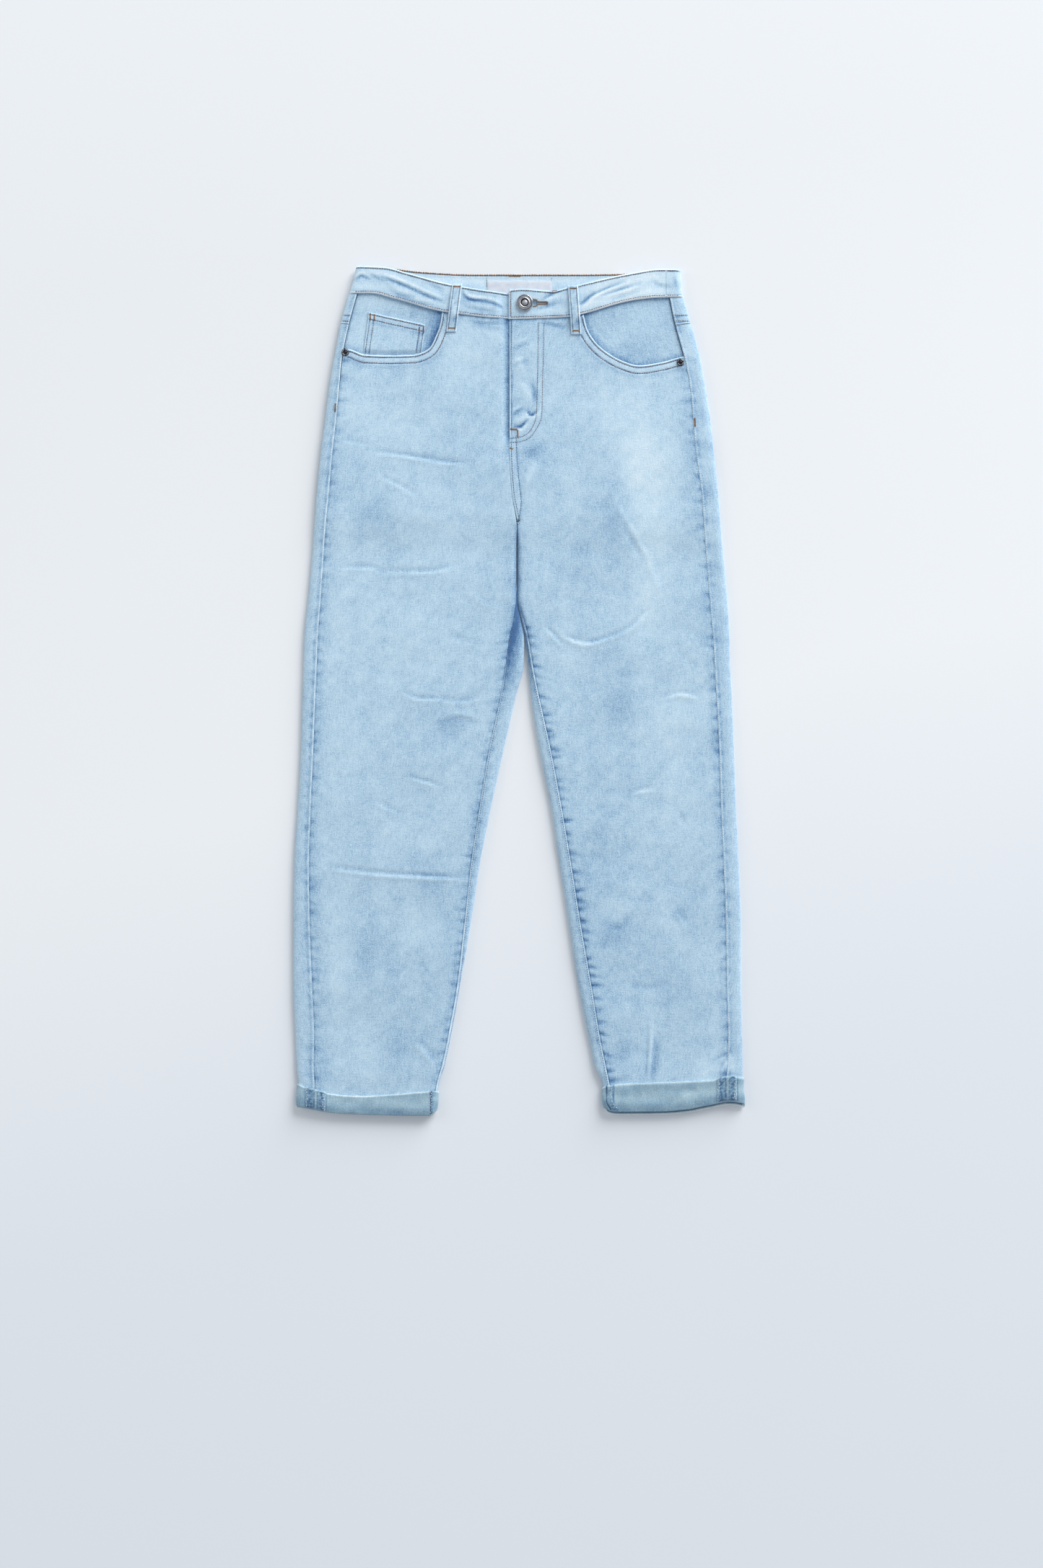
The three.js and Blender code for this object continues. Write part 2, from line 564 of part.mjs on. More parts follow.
// Where the left front lies a layer lower behind the fly, and where it runs under the fly's edge
const lowMask = (y) => smooth(FLY_END - 6, FLY_END + 5, y);
const tuckMask = (y) => smooth(FLY_END + 6, FLY_END + 20, y);
const LOW_EDGE = [FLY_EDGE - 11, FLY_EDGE - 1.5];

function frontPanel(side) {
  const leg = LEGS[side];
  const lowered = side === "left" ? LAYER : 0;
  const rowAt = (y) => frontRow(leg, y, side === "left" ? TUCK * tuckMask(y) : 0).map((point) => ({
    ...point,
    z: point.z - lowered * lowMask(y) * smooth(LOW_EDGE[0], LOW_EDGE[1], point.x),
  }));
  const outside = columnGrid(FRONT_ROWS, rowAt, bandLine[side], hemOf[side]);
  const inside = outside.map((row) => movedIn(row, -CLOTH * leg.inward));
  return wallGeometry(outside, inside);
}

// The prism over a pocket opening, up past the waistband seam
function openingCutter(points) {
  const [first, last] = [points[0], points[points.length - 1]];
  const outline = [...points, [last[0], CUT_TOP], [first[0], CUT_TOP]];
  return plate(first[0] < last[0] ? outline : outline.reverse(), CUT_LOW, CUT_HIGH);
}

// Back panels and yokes
const YOKE_CURVE = 1.15;
const yokeLine = (leg) => (x) => {
  const at = leg.at(YOKE_SIDE);
  const across = clamp(Math.abs(x - at.outer) / Math.abs(at.inner - at.outer), 0, 1);
  return mix(YOKE_SIDE, YOKE_CENTRE, across ** YOKE_CURVE);
};

function backPanel(side) {
  const leg = LEGS[side];
  const outside = columnGrid(BACK_ROWS, (y) => backRow(leg, y), yokeLine(leg), hemOf[side]);
  const inside = outside.map((row) => movedIn(row, -CLOTH * leg.inward));
  return wallGeometry(outside, inside);
}

const backBandBottom = straight(BACK_BAND_BOTTOM);
function yoke(side) {
  const leg = LEGS[side];
  const rowAt = (y) => backRow(leg, y);
  const columns = rowAt(YOKE_SIDE).map((_, j) => ({
    top: meets(backBandBottom, rowAt, j, YOKE_SIDE) - SEAM_EASE,
    bottom: meets(yokeLine(leg), rowAt, j, YOKE_SIDE),
  }));
  const outside = steps(4).map((v) => columns.map(({ top, bottom }, j) => rowAt(mix(top, bottom, v))[j]));
  const inside = outside.map((row) => movedIn(row, -CLOTH * leg.inward));
  return wallGeometry(outside, inside);
}

// Waistband pieces: rows run along the band, each a section path from a place on the top face round a
// side fold to a place on the underside
const BAND_ROWS = 3;
const foldAt = (side, v) => mix(BAND_SIDES[side].bottom, BAND_SIDES[side].top, v);
function bandPoint(side, v, q, top, frontEdges, backEdges) {
  const x = foldAt(side, v) + LEGS[side].inward * q;
  const edges = top ? frontEdges : backEdges;
  const y = mix(edges.bottom(x), edges.top(x), v);
  const middle = (BAND_TOP + REST_LIFT) / 2;
  const half = (BAND_TOP - REST_LIFT) / 2;
  const z = top ? middle + half * rounded(q, FOLD) : middle - half * rounded(q, UNDER_FOLD);
  return { x, y, z };
}

function bandFold(side, v, fromTop, toUnder, frontEdges, backEdges, topCount, underCount) {
  const point = (q, top) => bandPoint(side, v, q, top, frontEdges, backEdges);
  const arc = steps(4).map((t) => (t * Math.PI) / 2);
  return [
    ...steps(topCount).slice(0, -1).map((t) => point(mix(fromTop, FOLD, t), true)),
    ...arc.map((a) => point(FOLD * (1 - Math.sin(a)), true)),
    ...arc.slice(1).map((a) => point(UNDER_FOLD * (1 - Math.cos(a)), false)),
    ...steps(underCount).slice(1).map((t) => point(mix(UNDER_FOLD, toUnder, t), false)),
  ];
}

const backEdges = { top: edge(BACK_BAND_TOP), bottom: backBandBottom };
const leftEdges = { top: edge(LEFT_BAND_TOP), bottom: leftBandBottom };
const rightEdges = { top: edge(RIGHT_BAND_TOP), bottom: rightBandBottom };

function bandSolid(rows, flip) {
  return wallGeometry(rows, rows.map((row) => movedIn(row, flip * BAND)));
}

function frontBandLeft() {
  const rows = steps(BAND_ROWS).map((v) => {
    const fromTop = BAND_END.left - foldAt("left", v);
    return bandFold("left", v, fromTop, BAND_JOIN_LEFT, leftEdges, backEdges, 16, 2).map((point) => ({
      ...point,
      z: point.z - UNDER_LAP_DROP * smooth(UNDER_LAP_STEP[0], UNDER_LAP_STEP[1], point.x),
    }));
  });
  return bandSolid(rows, 1);
}

function frontBandRight() {
  const rows = steps(BAND_ROWS).map((v) => steps(14).map((t) => {
    const x = mix(BAND_END.right, BAND_JOIN_RIGHT - GAP, t);
    return bandPoint("right", v, Math.abs(x - foldAt("right", v)), true, rightEdges, backEdges);
  }));
  const band = wallGeometry(rows, rows.map((row) => row.map((point) => ({ ...point, z: point.z - BAND }))));
  const { eye, slit, end, deep } = BUTTONHOLE;
  const round = new THREE.CylinderGeometry(eye, eye, deep, 20).rotateX(Math.PI / 2);
  round.translate(BUTTON.x, BUTTON.y, BAND_TOP);
  const cut = new THREE.BoxGeometry(end - BUTTON.x, slit, deep);
  cut.translate((end + BUTTON.x) / 2, BUTTON.y, BAND_TOP);
  return geometryOf(solid(band).subtract(solid(round).add(solid(cut))));
}

function backBand() {
  const rows = steps(BAND_ROWS).map((v) => {
    const fold = foldAt("right", v);
    const under = fold - (foldAt("left", v) + BAND_JOIN_LEFT + GAP);
    return bandFold("right", v, fold - BAND_JOIN_RIGHT, under, rightEdges, backEdges, 1, 14);
  });
  return bandSolid(rows, -1);
}

// Pocket facings and the coin pocket, one layer down from the front panels
function facing(side) {
  const leg = LEGS[side];
  const line = bandLine[side];
  const placeAt = (u, v) => {
    let y = mix(FACING_HEM, YOKE_SIDE, v);
    let x = 0;
    for (let turn = 0; turn < 4; turn += 1) {
      x = mix(leg.at(y).outseam + leg.inward * SEAM / 2, FACING_INNER[side], u);
      y = mix(FACING_HEM, line(x) - SEAM_EASE, v);
    }
    return { x, y };
  };
  const grid = (up) => steps(FACING_ROWS).map((v) => steps(FACING_COLUMNS).map((u) => {
    const place = placeAt(u, v);
    return { ...place, z: topHeight(place.x, place.y) + up };
  }));
  return wallGeometry(grid(-LAYER), grid(-LAYER - CLOTH));
}

function coinPocket() {
  const c = COIN_POCKET;
  const sideOf = (low, high) => (v) => [mix(low[0], high[0], v), mix(low[1], high[1], v)];
  const raised = -LAYER + GAP + c.cloth;
  return patch(sideOf(c.left, c.topLeft), sideOf(c.right, c.topRight), 5, 3, raised, c.cloth);
}

// Fly shield and zip, behind the fly
function flyShield() {
  const top = (x) => rightBandBottom(x) - GAP;
  const low = -3 * LAYER + GAP;
  return patch(
    (v) => [SHIELD.left, mix(SHIELD.bottom, top(SHIELD.left), v)],
    (v) => [SHIELD.right, mix(SHIELD.bottom, top(SHIELD.right), v)],
    3, 4, low + CLOTH, CLOTH,
  );
}

function zip() {
  const z = REST_LIFT + LOOP_HEIGHT - LAYER;
  const middle = (ZIP.left + ZIP.right) / 2;
  const box = (width, height, x, y, low, high) => {
    const geometry = new THREE.BoxGeometry(width, height, high - low);
    return solid(geometry.translate(x, y, (low + high) / 2));
  };
  const length = ZIP.top - ZIP.bottom;
  const centre = (ZIP.top + ZIP.bottom) / 2;
  const low = z - CLOTH;
  const tape = box(ZIP.right - ZIP.left, length, middle, centre, low + 0.2, low + 0.2 + ZIP.tape);
  const chain = box(ZIP.chain, length - 6, middle, centre, low + 0.1, z - 0.1);
  const slider = box(ZIP.slider[0], ZIP.slider[1], middle, ZIP.top - 8, low, z);
  return geometryOf(tape.add(chain).add(slider));
}

// Belt loops
function frontLoop(loop) {
  const half = BELT_LOOP.width / 2;
  const line = loop.top[0] < 0 ? leftBandBottom : rightBandBottom;
  const grid = (up) => steps(8).map((v) => {
    const x = mix(loop.bottom[0], loop.top[0], v);
    const y = mix(loop.bottom[1], loop.top[1], v);
    const onBand = smooth(line(x) - 9, line(x) - 1.5, y);
    const z = mix(topHeight(x, y), BAND_TOP, onBand) + GAP + BELT_LOOP.rise * Math.sin(Math.PI * v);
    return [-half, half].map((side) => ({ x: x + side, y, z: z + up }));
  });
  return wallGeometry(grid(BELT_LOOP.thick), grid(0));
}

function backLoop(loop) {
  const half = BELT_LOOP.width / 2;
  const bottom = loop.top - BACK_LOOP.length;
  const [left, right] = [loop.x - half, loop.x + half];
  return plate([[left, bottom], [right, bottom], [right, loop.top], [left, loop.top]], 0, BACK_LOOP.thick);
}

function backPocket(side) {
  const leg = LEGS[side];
  const p = BACK_POCKET;
  const x = -leg.inward * p.middle;
  const half = p.width / 2;
  const low = p.top - p.height;
  const points = [
    [x - half, p.top], [x - half + p.turn, low + p.point], [x, low], [x + half - p.turn, low + p.point],
    [x + half, p.top],
  ];
  return plate(points.reverse(), 0, p.thick);
}

// Metal
function turned(profile, x, y, z) {
  const points = profile.map(([radius, height]) => new THREE.Vector2(radius, height));
  return new THREE.LatheGeometry(points, 28).rotateX(Math.PI / 2).translate(x, y, z);
}

function button() {
  const { radius, shank, cap } = BUTTON;
  const under = BAND_TOP + GAP;
  const foot = BAND_TOP - UNDER_LAP_DROP + GAP - under;
  const stem = [[0, foot], [shank, foot], [shank, 0]];
  const edgeRing = [[radius - 0.8, 0], [radius, 0.7], [radius, 1.7], [radius - 1.0, cap]];
  const slope = [[radius - 2.4, cap - 0.2], [radius - 3.2, cap - 1.3]];
  const dome = [[4.6, cap - 1.3], [4.0, cap - 0.5], [2.2, cap - 0.2], [0, cap - 0.1]];
  return turned([...stem, ...edgeRing, ...slope, ...dome], BUTTON.x, BUTTON.y, under);
}

function rivet(spec) {
  const { radius, height } = RIVET;
  const z = topHeight(spec.x, spec.y) + GAP;
  const rim = [[0, 0], [radius, 0], [radius, 0.5], [radius - 0.9, height - 0.5]];
  const profile = [...rim, [radius / 2, height - 0.5], [1.2, height], [0, height]];
  return turned(profile, spec.x, spec.y, z);
}

// Cuffs: the leg's own section moved out, all round. The columns go over the top face, the inner fold
// in two halves, the underside, the outer fold in two halves and the strip up to the outseam.
const CUFF_COLUMNS = [11, 5, 4, 4, 4, 4, 1];
function cuffRing(leg, y) {
  const cut = section(leg, y);
  const path = measured([...cut.front, ...cut.back]);
  const corners = [0, ARC, 2 * ARC, 2 * ARC + 2, 3 * ARC + 2, 4 * ARC + 2];
  const ends = corners.map((count) => measured([...cut.front, ...cut.back.slice(0, count)]).total);
  ends.push(path.total);
  const spread = (count, i) => steps(count).slice(1).map((t) => mix(ends[i - 1] ?? 0, ends[i], t));
  return CUFF_COLUMNS.flatMap(spread).map((length) => ({ ...path.facing(length), y }));
}

// How far a cuff stands up over its pressed seam allowances
function allowance(strips, x, z) {
  const slope = 1.5;
  const over = strips.map(([from, to]) => smooth(from, from + slope, x) * (1 - smooth(to - slope, to, x)));
  return ALLOWANCE * Math.max(...over) * smooth(HEM_LIFT + HEM_HEIGHT - 1, HEM_LIFT + HEM_HEIGHT, z);
}

function cuff(side) {
  const leg = LEGS[side];
  const spec = CUFFS[side];
  const topLine = edge(spec.top);
  const bottomLine = edge(spec.bottom);
  const levels = [
    { up: 0, inset: -CLOTH }, { up: CUFF_LIP - GAP, inset: -CLOTH }, { up: CUFF_LIP, inset: SEAM },
    { share: 0.5, inset: SEAM }, { share: 1, inset: SEAM },
  ];
  const guide = cuffRing(leg, spec.bottom[0][1]);
  const rings = levels.map((level) => guide.map((point, j) => {
    const under = 1 - smooth(HEM_LIFT + 1.5, HEM_LIFT + 4, point.z);
    const low = bottomLine(point.x) - spec.underDrop * under;
    const y = level.share ? mix(low + CUFF_LIP, topLine(point.x), level.share) : low + level.up;
    const at = [cuffRing(leg, y)[j]];
    const [outer] = movedIn(at, (GAP + TURN_UP) * leg.inward);
    const [inner] = movedIn(at, level.inset * leg.inward);
    outer.z = Math.max(0, outer.z + allowance(spec.allowances, point.x, point.z));
    return { outer, inner };
  }));
  const sideOf = (name) => rings.map((ring) => ring.map((place) => place[name]));
  return wallGeometry(sideOf("outer"), sideOf("inner"), true);
}

function insideLabel() {
  const z = REST_LIFT + BAND + GAP;
  const { left, right, top, bottom, thick } = LABEL;
  return plate([[left, bottom], [right, bottom], [right, top], [left, top]], z, z + thick);
}

// The part
const jeans = new THREE.Group();
jeans.name = "straight_jeans";
function add(name, geometry, colour) {
  const mesh = new THREE.Mesh(geometry, new THREE.MeshStandardMaterial(COLOURS[colour]));
  mesh.name = name;
  jeans.add(mesh);
}

const openings = { left: openingCutter(LEFT_OPENING), right: openingCutter(RIGHT_OPENING) };
for (const side of ["left", "right"]) {
  add(`front_${side}`, geometryOf(solid(frontPanel(side)).subtract(solid(openings[side]))), "denim");
  add(`back_${side}`, backPanel(side), "denim");
  add(`back_yoke_${side}`, yoke(side), "denim");
  add(`pocket_facing_${side}`, facing(side), "facing");
  add(`back_pocket_${side}`, backPocket(side), "denim");
  add(`cuff_${side}`, cuff(side), "cuff");
}
add("coin_pocket", coinPocket(), "facing");
add("waistband_front_left", frontBandLeft(), "denim");
add("waistband_front_right", frontBandRight(), "denim");
add("waistband_back", backBand(), "denim");
add("fly_shield", flyShield(), "denim");
add("zip", zip(), "tape");
FRONT_LOOPS.forEach((loop) => add(loop.name, frontLoop(loop), "denim"));
BACK_LOOPS.forEach((loop) => add(loop.name, backLoop(loop), "denim"));
add("waist_button", button(), "silver");
RIVETS.forEach((spec) => add(spec.name, rivet(spec), "gunmetal"));
add("inside_label", insideLabel(), "label");

export default jeans;
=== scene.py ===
# Straight jeans with turned-up cuffs, laid flat: the cloth, its sewing and metal, the light and the camera.
# Sizes in the tables are millimetres in the part's own frame: x to the viewer's right, y to the waist and
# z up. MM turns them to metres when a mesh is made. Left and right are the viewer's.
import math

import bmesh
import bpy
import numpy as np
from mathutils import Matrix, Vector
from mathutils.bvhtree import BVHTree


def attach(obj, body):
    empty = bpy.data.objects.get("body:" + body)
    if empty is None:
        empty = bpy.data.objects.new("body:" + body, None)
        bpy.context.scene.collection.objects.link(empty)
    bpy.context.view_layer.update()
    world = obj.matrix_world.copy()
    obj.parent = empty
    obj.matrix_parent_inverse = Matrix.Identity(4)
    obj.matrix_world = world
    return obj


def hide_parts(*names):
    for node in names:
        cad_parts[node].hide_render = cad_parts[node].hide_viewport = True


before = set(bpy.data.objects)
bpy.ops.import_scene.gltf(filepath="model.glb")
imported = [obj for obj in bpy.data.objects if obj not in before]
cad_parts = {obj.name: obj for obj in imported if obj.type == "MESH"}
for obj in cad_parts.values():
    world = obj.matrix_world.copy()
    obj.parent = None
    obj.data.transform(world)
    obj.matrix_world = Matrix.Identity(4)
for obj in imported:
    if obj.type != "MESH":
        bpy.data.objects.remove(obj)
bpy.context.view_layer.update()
bpy.ops.object.select_all(action="DESELECT")

MM = 0.001

# Thickness of the cloth and of the waistband, and the gaps between layers and between neighbours in a seam
CLOTH, BAND = 1.4, 2.0
GAP, SEAM, SEAM_EASE = 0.3, 0.4, 0.5
LAYER = CLOTH + GAP

# Heights of the stack: where the underside rests and how high the folded tube is, above the loops and
# pockets under it and at the hems, the roundings of its folds on the top face and on the underside, and the
# top of the front waistband, with the step down of its under-lap
REST_LIFT, LOOP_HEIGHT = 1.6, 6.6
HEM_LIFT, HEM_HEIGHT = 1.8, 5.4
FOLD, UNDER_FOLD = 8.0, 4.0
BAND_TOP = 9.1
UNDER_LAP_DROP, UNDER_LAP_STEP = 2.3, (-27, -14.5)

# Each leg by height: the outer fold, the outseam, the front panel's inner edge and the inner fold
LEG_COLUMNS = ("y", "outer", "outseam", "front", "inner")
LEG_ROWS = {
    "left": [
        (470, -191, -181, -11.5, -2.5), (456, -194.5, -184.5, -11.5, -2.5),
        (425, -203, -193, -11.5, -2.5), (378, -212, -202.5, -11.5, -2.5),
        (345, -217.5, -205.5, -11.5, -2.5), (296, -223.5, -210.5, -11.5, -2.5),
        (279, -226, -212.5, -11.5, -2.5), (229, -231, -217, -8.6, -2.5),
        (188, -234, -221, -2.9, -2.5), (107, -241, -226.5, -2.9, -2.5),
        (82, -244, -228.5, -6.5, 1.9), (61, -245.5, -230, -11.3, 5.8),
        (32, -246.5, -231, -15.5, 5.0), (0, -247.5, -232.5, -20.5, -2.9),
        (-66, -249.5, -235, -34.5, -18), (-132, -253, -238, -45.5, -32.5),
        (-198, -257, -240, -55.5, -45.5), (-264, -258, -239, -62.5, -55.5),
        (-330, -258, -236.5, -69.5, -67), (-396, -255.5, -234, -81, -79),
        (-428, -254, -234.5, -88, -86), (-445, -252, -233.5, -93, -91.5),
        (-490, -253, -233.5, -98.5, -97),
    ],
    "right": [
        (470, 183, 168, -11.5, -2.5), (456, 186, 170.5, -11.5, -2.5),
        (425, 194.5, 176.5, -11.5, -2.5), (378, 207, 189, -11.5, -2.5),
        (345, 213, 195, -11.5, -2.5), (296, 220, 199, -11.5, -2.5),
        (279, 221.5, 200.5, -11.5, -2.5), (229, 227, 207.5, -8.6, -2.5),
        (188, 230, 210.5, -2.1, -2.5), (107, 237.5, 217, -2.1, -2.5),
        (82, 239, 219, 4.4, 2.6), (61, 240, 221, 9.5, 6.6),
        (32, 240.5, 222.5, 14.5, 10.2), (0, 242.5, 224.5, 21.5, 13),
        (-66, 245, 228, 36, 23.5), (-132, 247.5, 230, 48.5, 36.5),
        (-198, 250.5, 233, 59.5, 46.5), (-264, 253, 235.5, 70, 57),
        (-330, 253, 236.5, 81.5, 67), (-396, 254.5, 238, 92.5, 80),
        (-428, 255, 237, 99, 87), (-445, 254.5, 236, 102.5, 95),
        (-490, 257.6, 236, 110, 98.5),
    ],
}
INWARD = {"left": 1, "right": -1}

# Height of the stack along the garment. roll: how far the top face rolls into the inner fold.
# close: how far the underside does.
STACK_COLUMNS = ("y", "lift", "height", "roll", "close")
STACK_ROWS = [
    (500, REST_LIFT, LOOP_HEIGHT, 0.01, 0), (205, REST_LIFT, LOOP_HEIGHT, 0.01, 0),
    (188, 1.1, LOOP_HEIGHT, 0.05, 0), (158, 0, LOOP_HEIGHT, 1, 0), (138, 0, LOOP_HEIGHT, 1, 0),
    (107, 0, LOOP_HEIGHT, 1, 1), (-410, 0, LOOP_HEIGHT, 1, 1),
    (-440, HEM_LIFT, HEM_HEIGHT, 1, 1), (-500, HEM_LIFT, HEM_HEIGHT, 1, 1),
]

# Waistband edges on the top face and on the underside, as (x, y)
BAND_SIDES = {"left": (-194, -185.5), "right": (186.5, 184)}
LEFT_BAND_TOP = [(-186, 486.5), (-153, 485), (-128, 478.5), (-78, 465.5), (-12, 455.5), (24, 453)]
LEFT_BAND_BOTTOM = [(-194, 455), (-169, 455), (-144.5, 449.5), (-83.5, 433.5), (-12, 426.5), (24, 428)]
RIGHT_BAND_TOP = [(-12, 459.5), (4, 460.5), (38, 458), (55, 462), (127, 478), (162, 483), (184, 482.5)]
RIGHT_BAND_BOTTOM = [
    (-12, 425.5), (30, 426.5), (56, 428), (70.5, 431), (130, 447), (157, 450), (187, 450.5),
]
BACK_BAND_TOP = [
    (-186, 486.5), (-144, 484), (-114, 480.5), (-51, 477.5), (69, 477.5), (127, 478.5), (184, 482.5),
]
BACK_BAND_BOTTOM = [(-194, 455), (-2.5, 446), (187, 450.5)]
BAND_JOIN_LEFT, BAND_JOIN_RIGHT = 40, 167.5
BAND_END_LEFT, BAND_END_RIGHT = 23, -12.2

# Front pockets and what shows in them
OPENINGS = {
    "left": [(-215, 392.5), (-194, 391.5), (-176, 385.5), (-148, 384.5), (-122, 385), (-104, 391.5),
             (-94, 409.5), (-90, 422), (-87, 445)],
    "right": [(202, 385), (186, 383), (161, 376.5), (136, 373), (119, 377.5), (94, 392.5), (80, 409.5),
              (76, 419.5), (71, 445)],
}
FACING_HEM = 366
FACING_INNER = {"left": -76, "right": 62}
COIN_POCKET = {"left": [(-178.5, 388), (-172, 434)], "right": [(-111.5, 390.5), (-107, 419.5)]}
COIN_TUCK = 5.5
COIN_TOP_ROWS, COIN_SIDE_ROWS = (2.2, 8.0), (2.0, 6.6)
COIN_CLOTH = 1.0

# Fly
FLY_END = 290
FLY_EDGE = -11.5
TUCK = 6
SHIELD = {"left": -19, "right": 26, "bottom": 296}

# Back
YOKE_SIDE, YOKE_CENTRE, YOKE_CURVE = 421, 378, 1.15
BACK_POCKET = {"width": 142, "height": 158, "point": 22, "top": 366, "middle": 108, "turn": 3}
POCKET_SIDE_ROWS, POCKET_TOP_ROWS = (2.4, 8.6), (2.4, 11.5)
BACK_CLOTH = 1.3

LOOP_WIDTH, LOOP_RISE = 11.5, 0.7
FRONT_LOOPS = {"left": [(-77.5, 411), (-70.8, 465.5)], "right": [(65, 408), (61, 463.5)]}
BACK_LOOPS = {"left": (-122, 482), "centre": (-2.5, 478), "right": (117, 479)}
BACK_LOOP_LENGTH = 54

BUTTON_PLACE = (6.2, 444)
BUTTONHOLE = {"eye": 17.5, "radius": 3.3, "end": 31.5, "width": 1.2, "depth": 8}
RIVET_PLACES = {"rivet_left": (-198.3, 387.9), "rivet_right": (183.6, 376.6)}
LABEL = {"left": -36.6, "right": 37.4, "top": 470, "bottom": 442, "thick": 0.6}

# Cuffs: edges on the top face (x, y), the pressed seam allowances, the lean of the inseam's, the drop of the
# under layer and the rounding of the fold's inner corner
CUFFS = {
    "left": {
        "top": [(-254, -445), (-242, -450.5), (-221, -456), (-197, -459), (-178, -459.5), (-150, -458),
                (-94, -453)],
        "bottom": [(-256, -472), (-245, -473.5), (-225, -477.5), (-197, -480.5), (-102, -482.5),
                   (-95, -480)],
        "outseam": (-244, -221), "inseam": (-101, -91), "lean": 0, "drop": 1.0, "rounding": 4.0,
    },
    "right": {
        "top": [(96, -449), (107, -447), (135, -445), (189, -443), (216, -441.5), (246, -437.5),
                (256, -439)],
        "bottom": [(96, -470), (103, -477), (114, -478), (162, -477.5), (189, -475.5), (216, -470.5),
                   (240, -466.5), (258, -469)],
        "outseam": (225, 248), "inseam": (99, 107), "lean": 6, "drop": 4.6, "rounding": 0.0,
    },
}
CUFF_OUT = 1.8
LIP_RADIUS = 1.6
ALLOWANCE = 0.9
CUFF_SEAMS = (0.45, 0.6)
LEG_HEMS = {"left": -466, "right": -460}

# Creases of the top face: start, bend, end, half width, height, lean and tone. A height over 0 is a ridge
# and one under 0 a trough. The lean is how strong the opposite form beside it is, on the left of its way
# where it is over 0. A tone over 0 is paler: partly the denim's wear, partly painted light, with painted
# shade in troughs and a painted highlight on the ridges beside them.
CREASE_ROWS = [
    ((-206, 291), (-192, 287), (-172, 283), 2.4, -0.6, -0.5, -0.16),
    ((-168, 276), (-120, 270), (-64, 261), 2.3, -1.0, -0.9, -0.34),
    ((-130, 271), (-92, 263), (-58, 263), 1.9, -0.6, -0.6, -0.2),
    ((-158, 248), (-140, 239), (-116, 226), 2.3, -0.8, -0.7, -0.26),
    ((-142, 180), (-130, 196), (-108, 214), 4.0, 0.5, 0.3, 0.12),
    ((-206, 144), (-172, 144), (-154, 137), 2.4, -0.8, -0.7, -0.24),
    ((-158, 139), (-104, 139), (-66, 148), 2.6, -0.9, -0.8, -0.22),
    ((-134, 2), (-112, -6), (-90, -6), 2.1, -1.1, -0.9, -0.36),
    ((-95, -6), (-68, -9), (-40, -3), 2.4, -0.7, -0.8, -0.16),
    ((-96, -32), (-70, -24), (-44, -31), 3.2, 0.9, -0.5, 0.2),
    ((-128, -95), (-108, -100), (-90, -106), 2.1, -1.1, -0.8, -0.38),
    ((-165, -122), (-150, -130), (-134, -138), 2.4, -0.7, -0.7, -0.18),
    ((-154, -146), (-146, -152), (-160, -166), 3.6, 0.5, 0.3, 0.1),
    ((-220, -198), (-150, -206), (-68, -210), 2.6, -1.2, -1.0, -0.3),
    ((-124, -206), (-96, -209), (-62, -211), 1.9, -0.6, -0.6, -0.22),
    ((-120, -400), (-110, -410), (-97, -426), 4.0, 0.8, 0.5, 0.18),
    ((-118, -412), (-125, -430), (-128, -450), 3.0, -0.5, 0.4, -0.14),
    ((116, 200), (132, 168), (146, 146), 3.2, -0.9, 0.9, -0.24),
    ((108, 226), (118, 200), (124, 186), 5.0, 0.6, 0.4, 0.14),
    ((140, 160), (150, 140), (162, 112), 4.0, 0.6, 0.3, 0.14),
    ((52, 65), (74, 57), (108, 66), 2.3, -1.2, -1.0, -0.34),
    ((100, 63), (124, 74), (146, 96), 2.8, -0.9, -0.8, -0.2),
    ((52, 63), (66, 58), (84, 57), 1.9, 0.6, 0.4, 0.3),
    ((30, 76), (40, 66), (51, 54), 2.4, -0.9, -0.7, -0.24),
    ((166, -7), (184, -3), (204, -7), 2.6, 0.9, 0.8, 0.28),
    ((128, -117), (140, -113), (153, -112), 2.3, 0.9, 0.8, 0.28),
    ((180, -130), (186, -142), (191, -154), 3.0, -0.5, 0.6, -0.14),
    ((100, -262), (112, -268), (128, -252), 4.0, -0.7, 0.5, -0.18),
    ((181, -246), (187, -256), (192, -266), 3.0, -0.6, -0.6, -0.16),
    ((150, -378), (148, -420), (145, -447), 2.2, 1.4, -0.9, 0.3),
    ((157, -390), (155, -420), (150, -448), 4.5, -0.5, 0.2, -0.42),
    ((242, -416), (237, -424), (230, -432), 2.6, 1.0, -0.6, 0.3),
    ((238, -410), (227, -416), (221, -420), 2.3, -0.8, 0.4, -0.4),
    ((19, 263), (11, 246), (5, 230), 4.0, 1.1, -0.5, 0.28),
    ((-60, 120), (-40, 100), (-20, 96), 4.0, 0.5, 0.4, 0.1),
    ((-86, 76), (-66, 62), (-44, 58), 4.0, -0.4, 0.4, -0.1),
    ((70, 150), (60, 120), (54, 100), 5.0, -0.4, 0.4, -0.08),
    ((176, 60), (190, 40), (206, 30), 4.0, -0.4, 0.4, -0.1),
    ((-220, -90), (-200, -96), (-180, -92), 3.0, -0.4, 0.4, -0.12),
    ((-90, -300), (-110, -310), (-130, -306), 3.6, -0.4, 0.4, -0.1),
    ((120, -330), (150, -336), (176, -328), 3.6, -0.4, 0.4, -0.1),
]
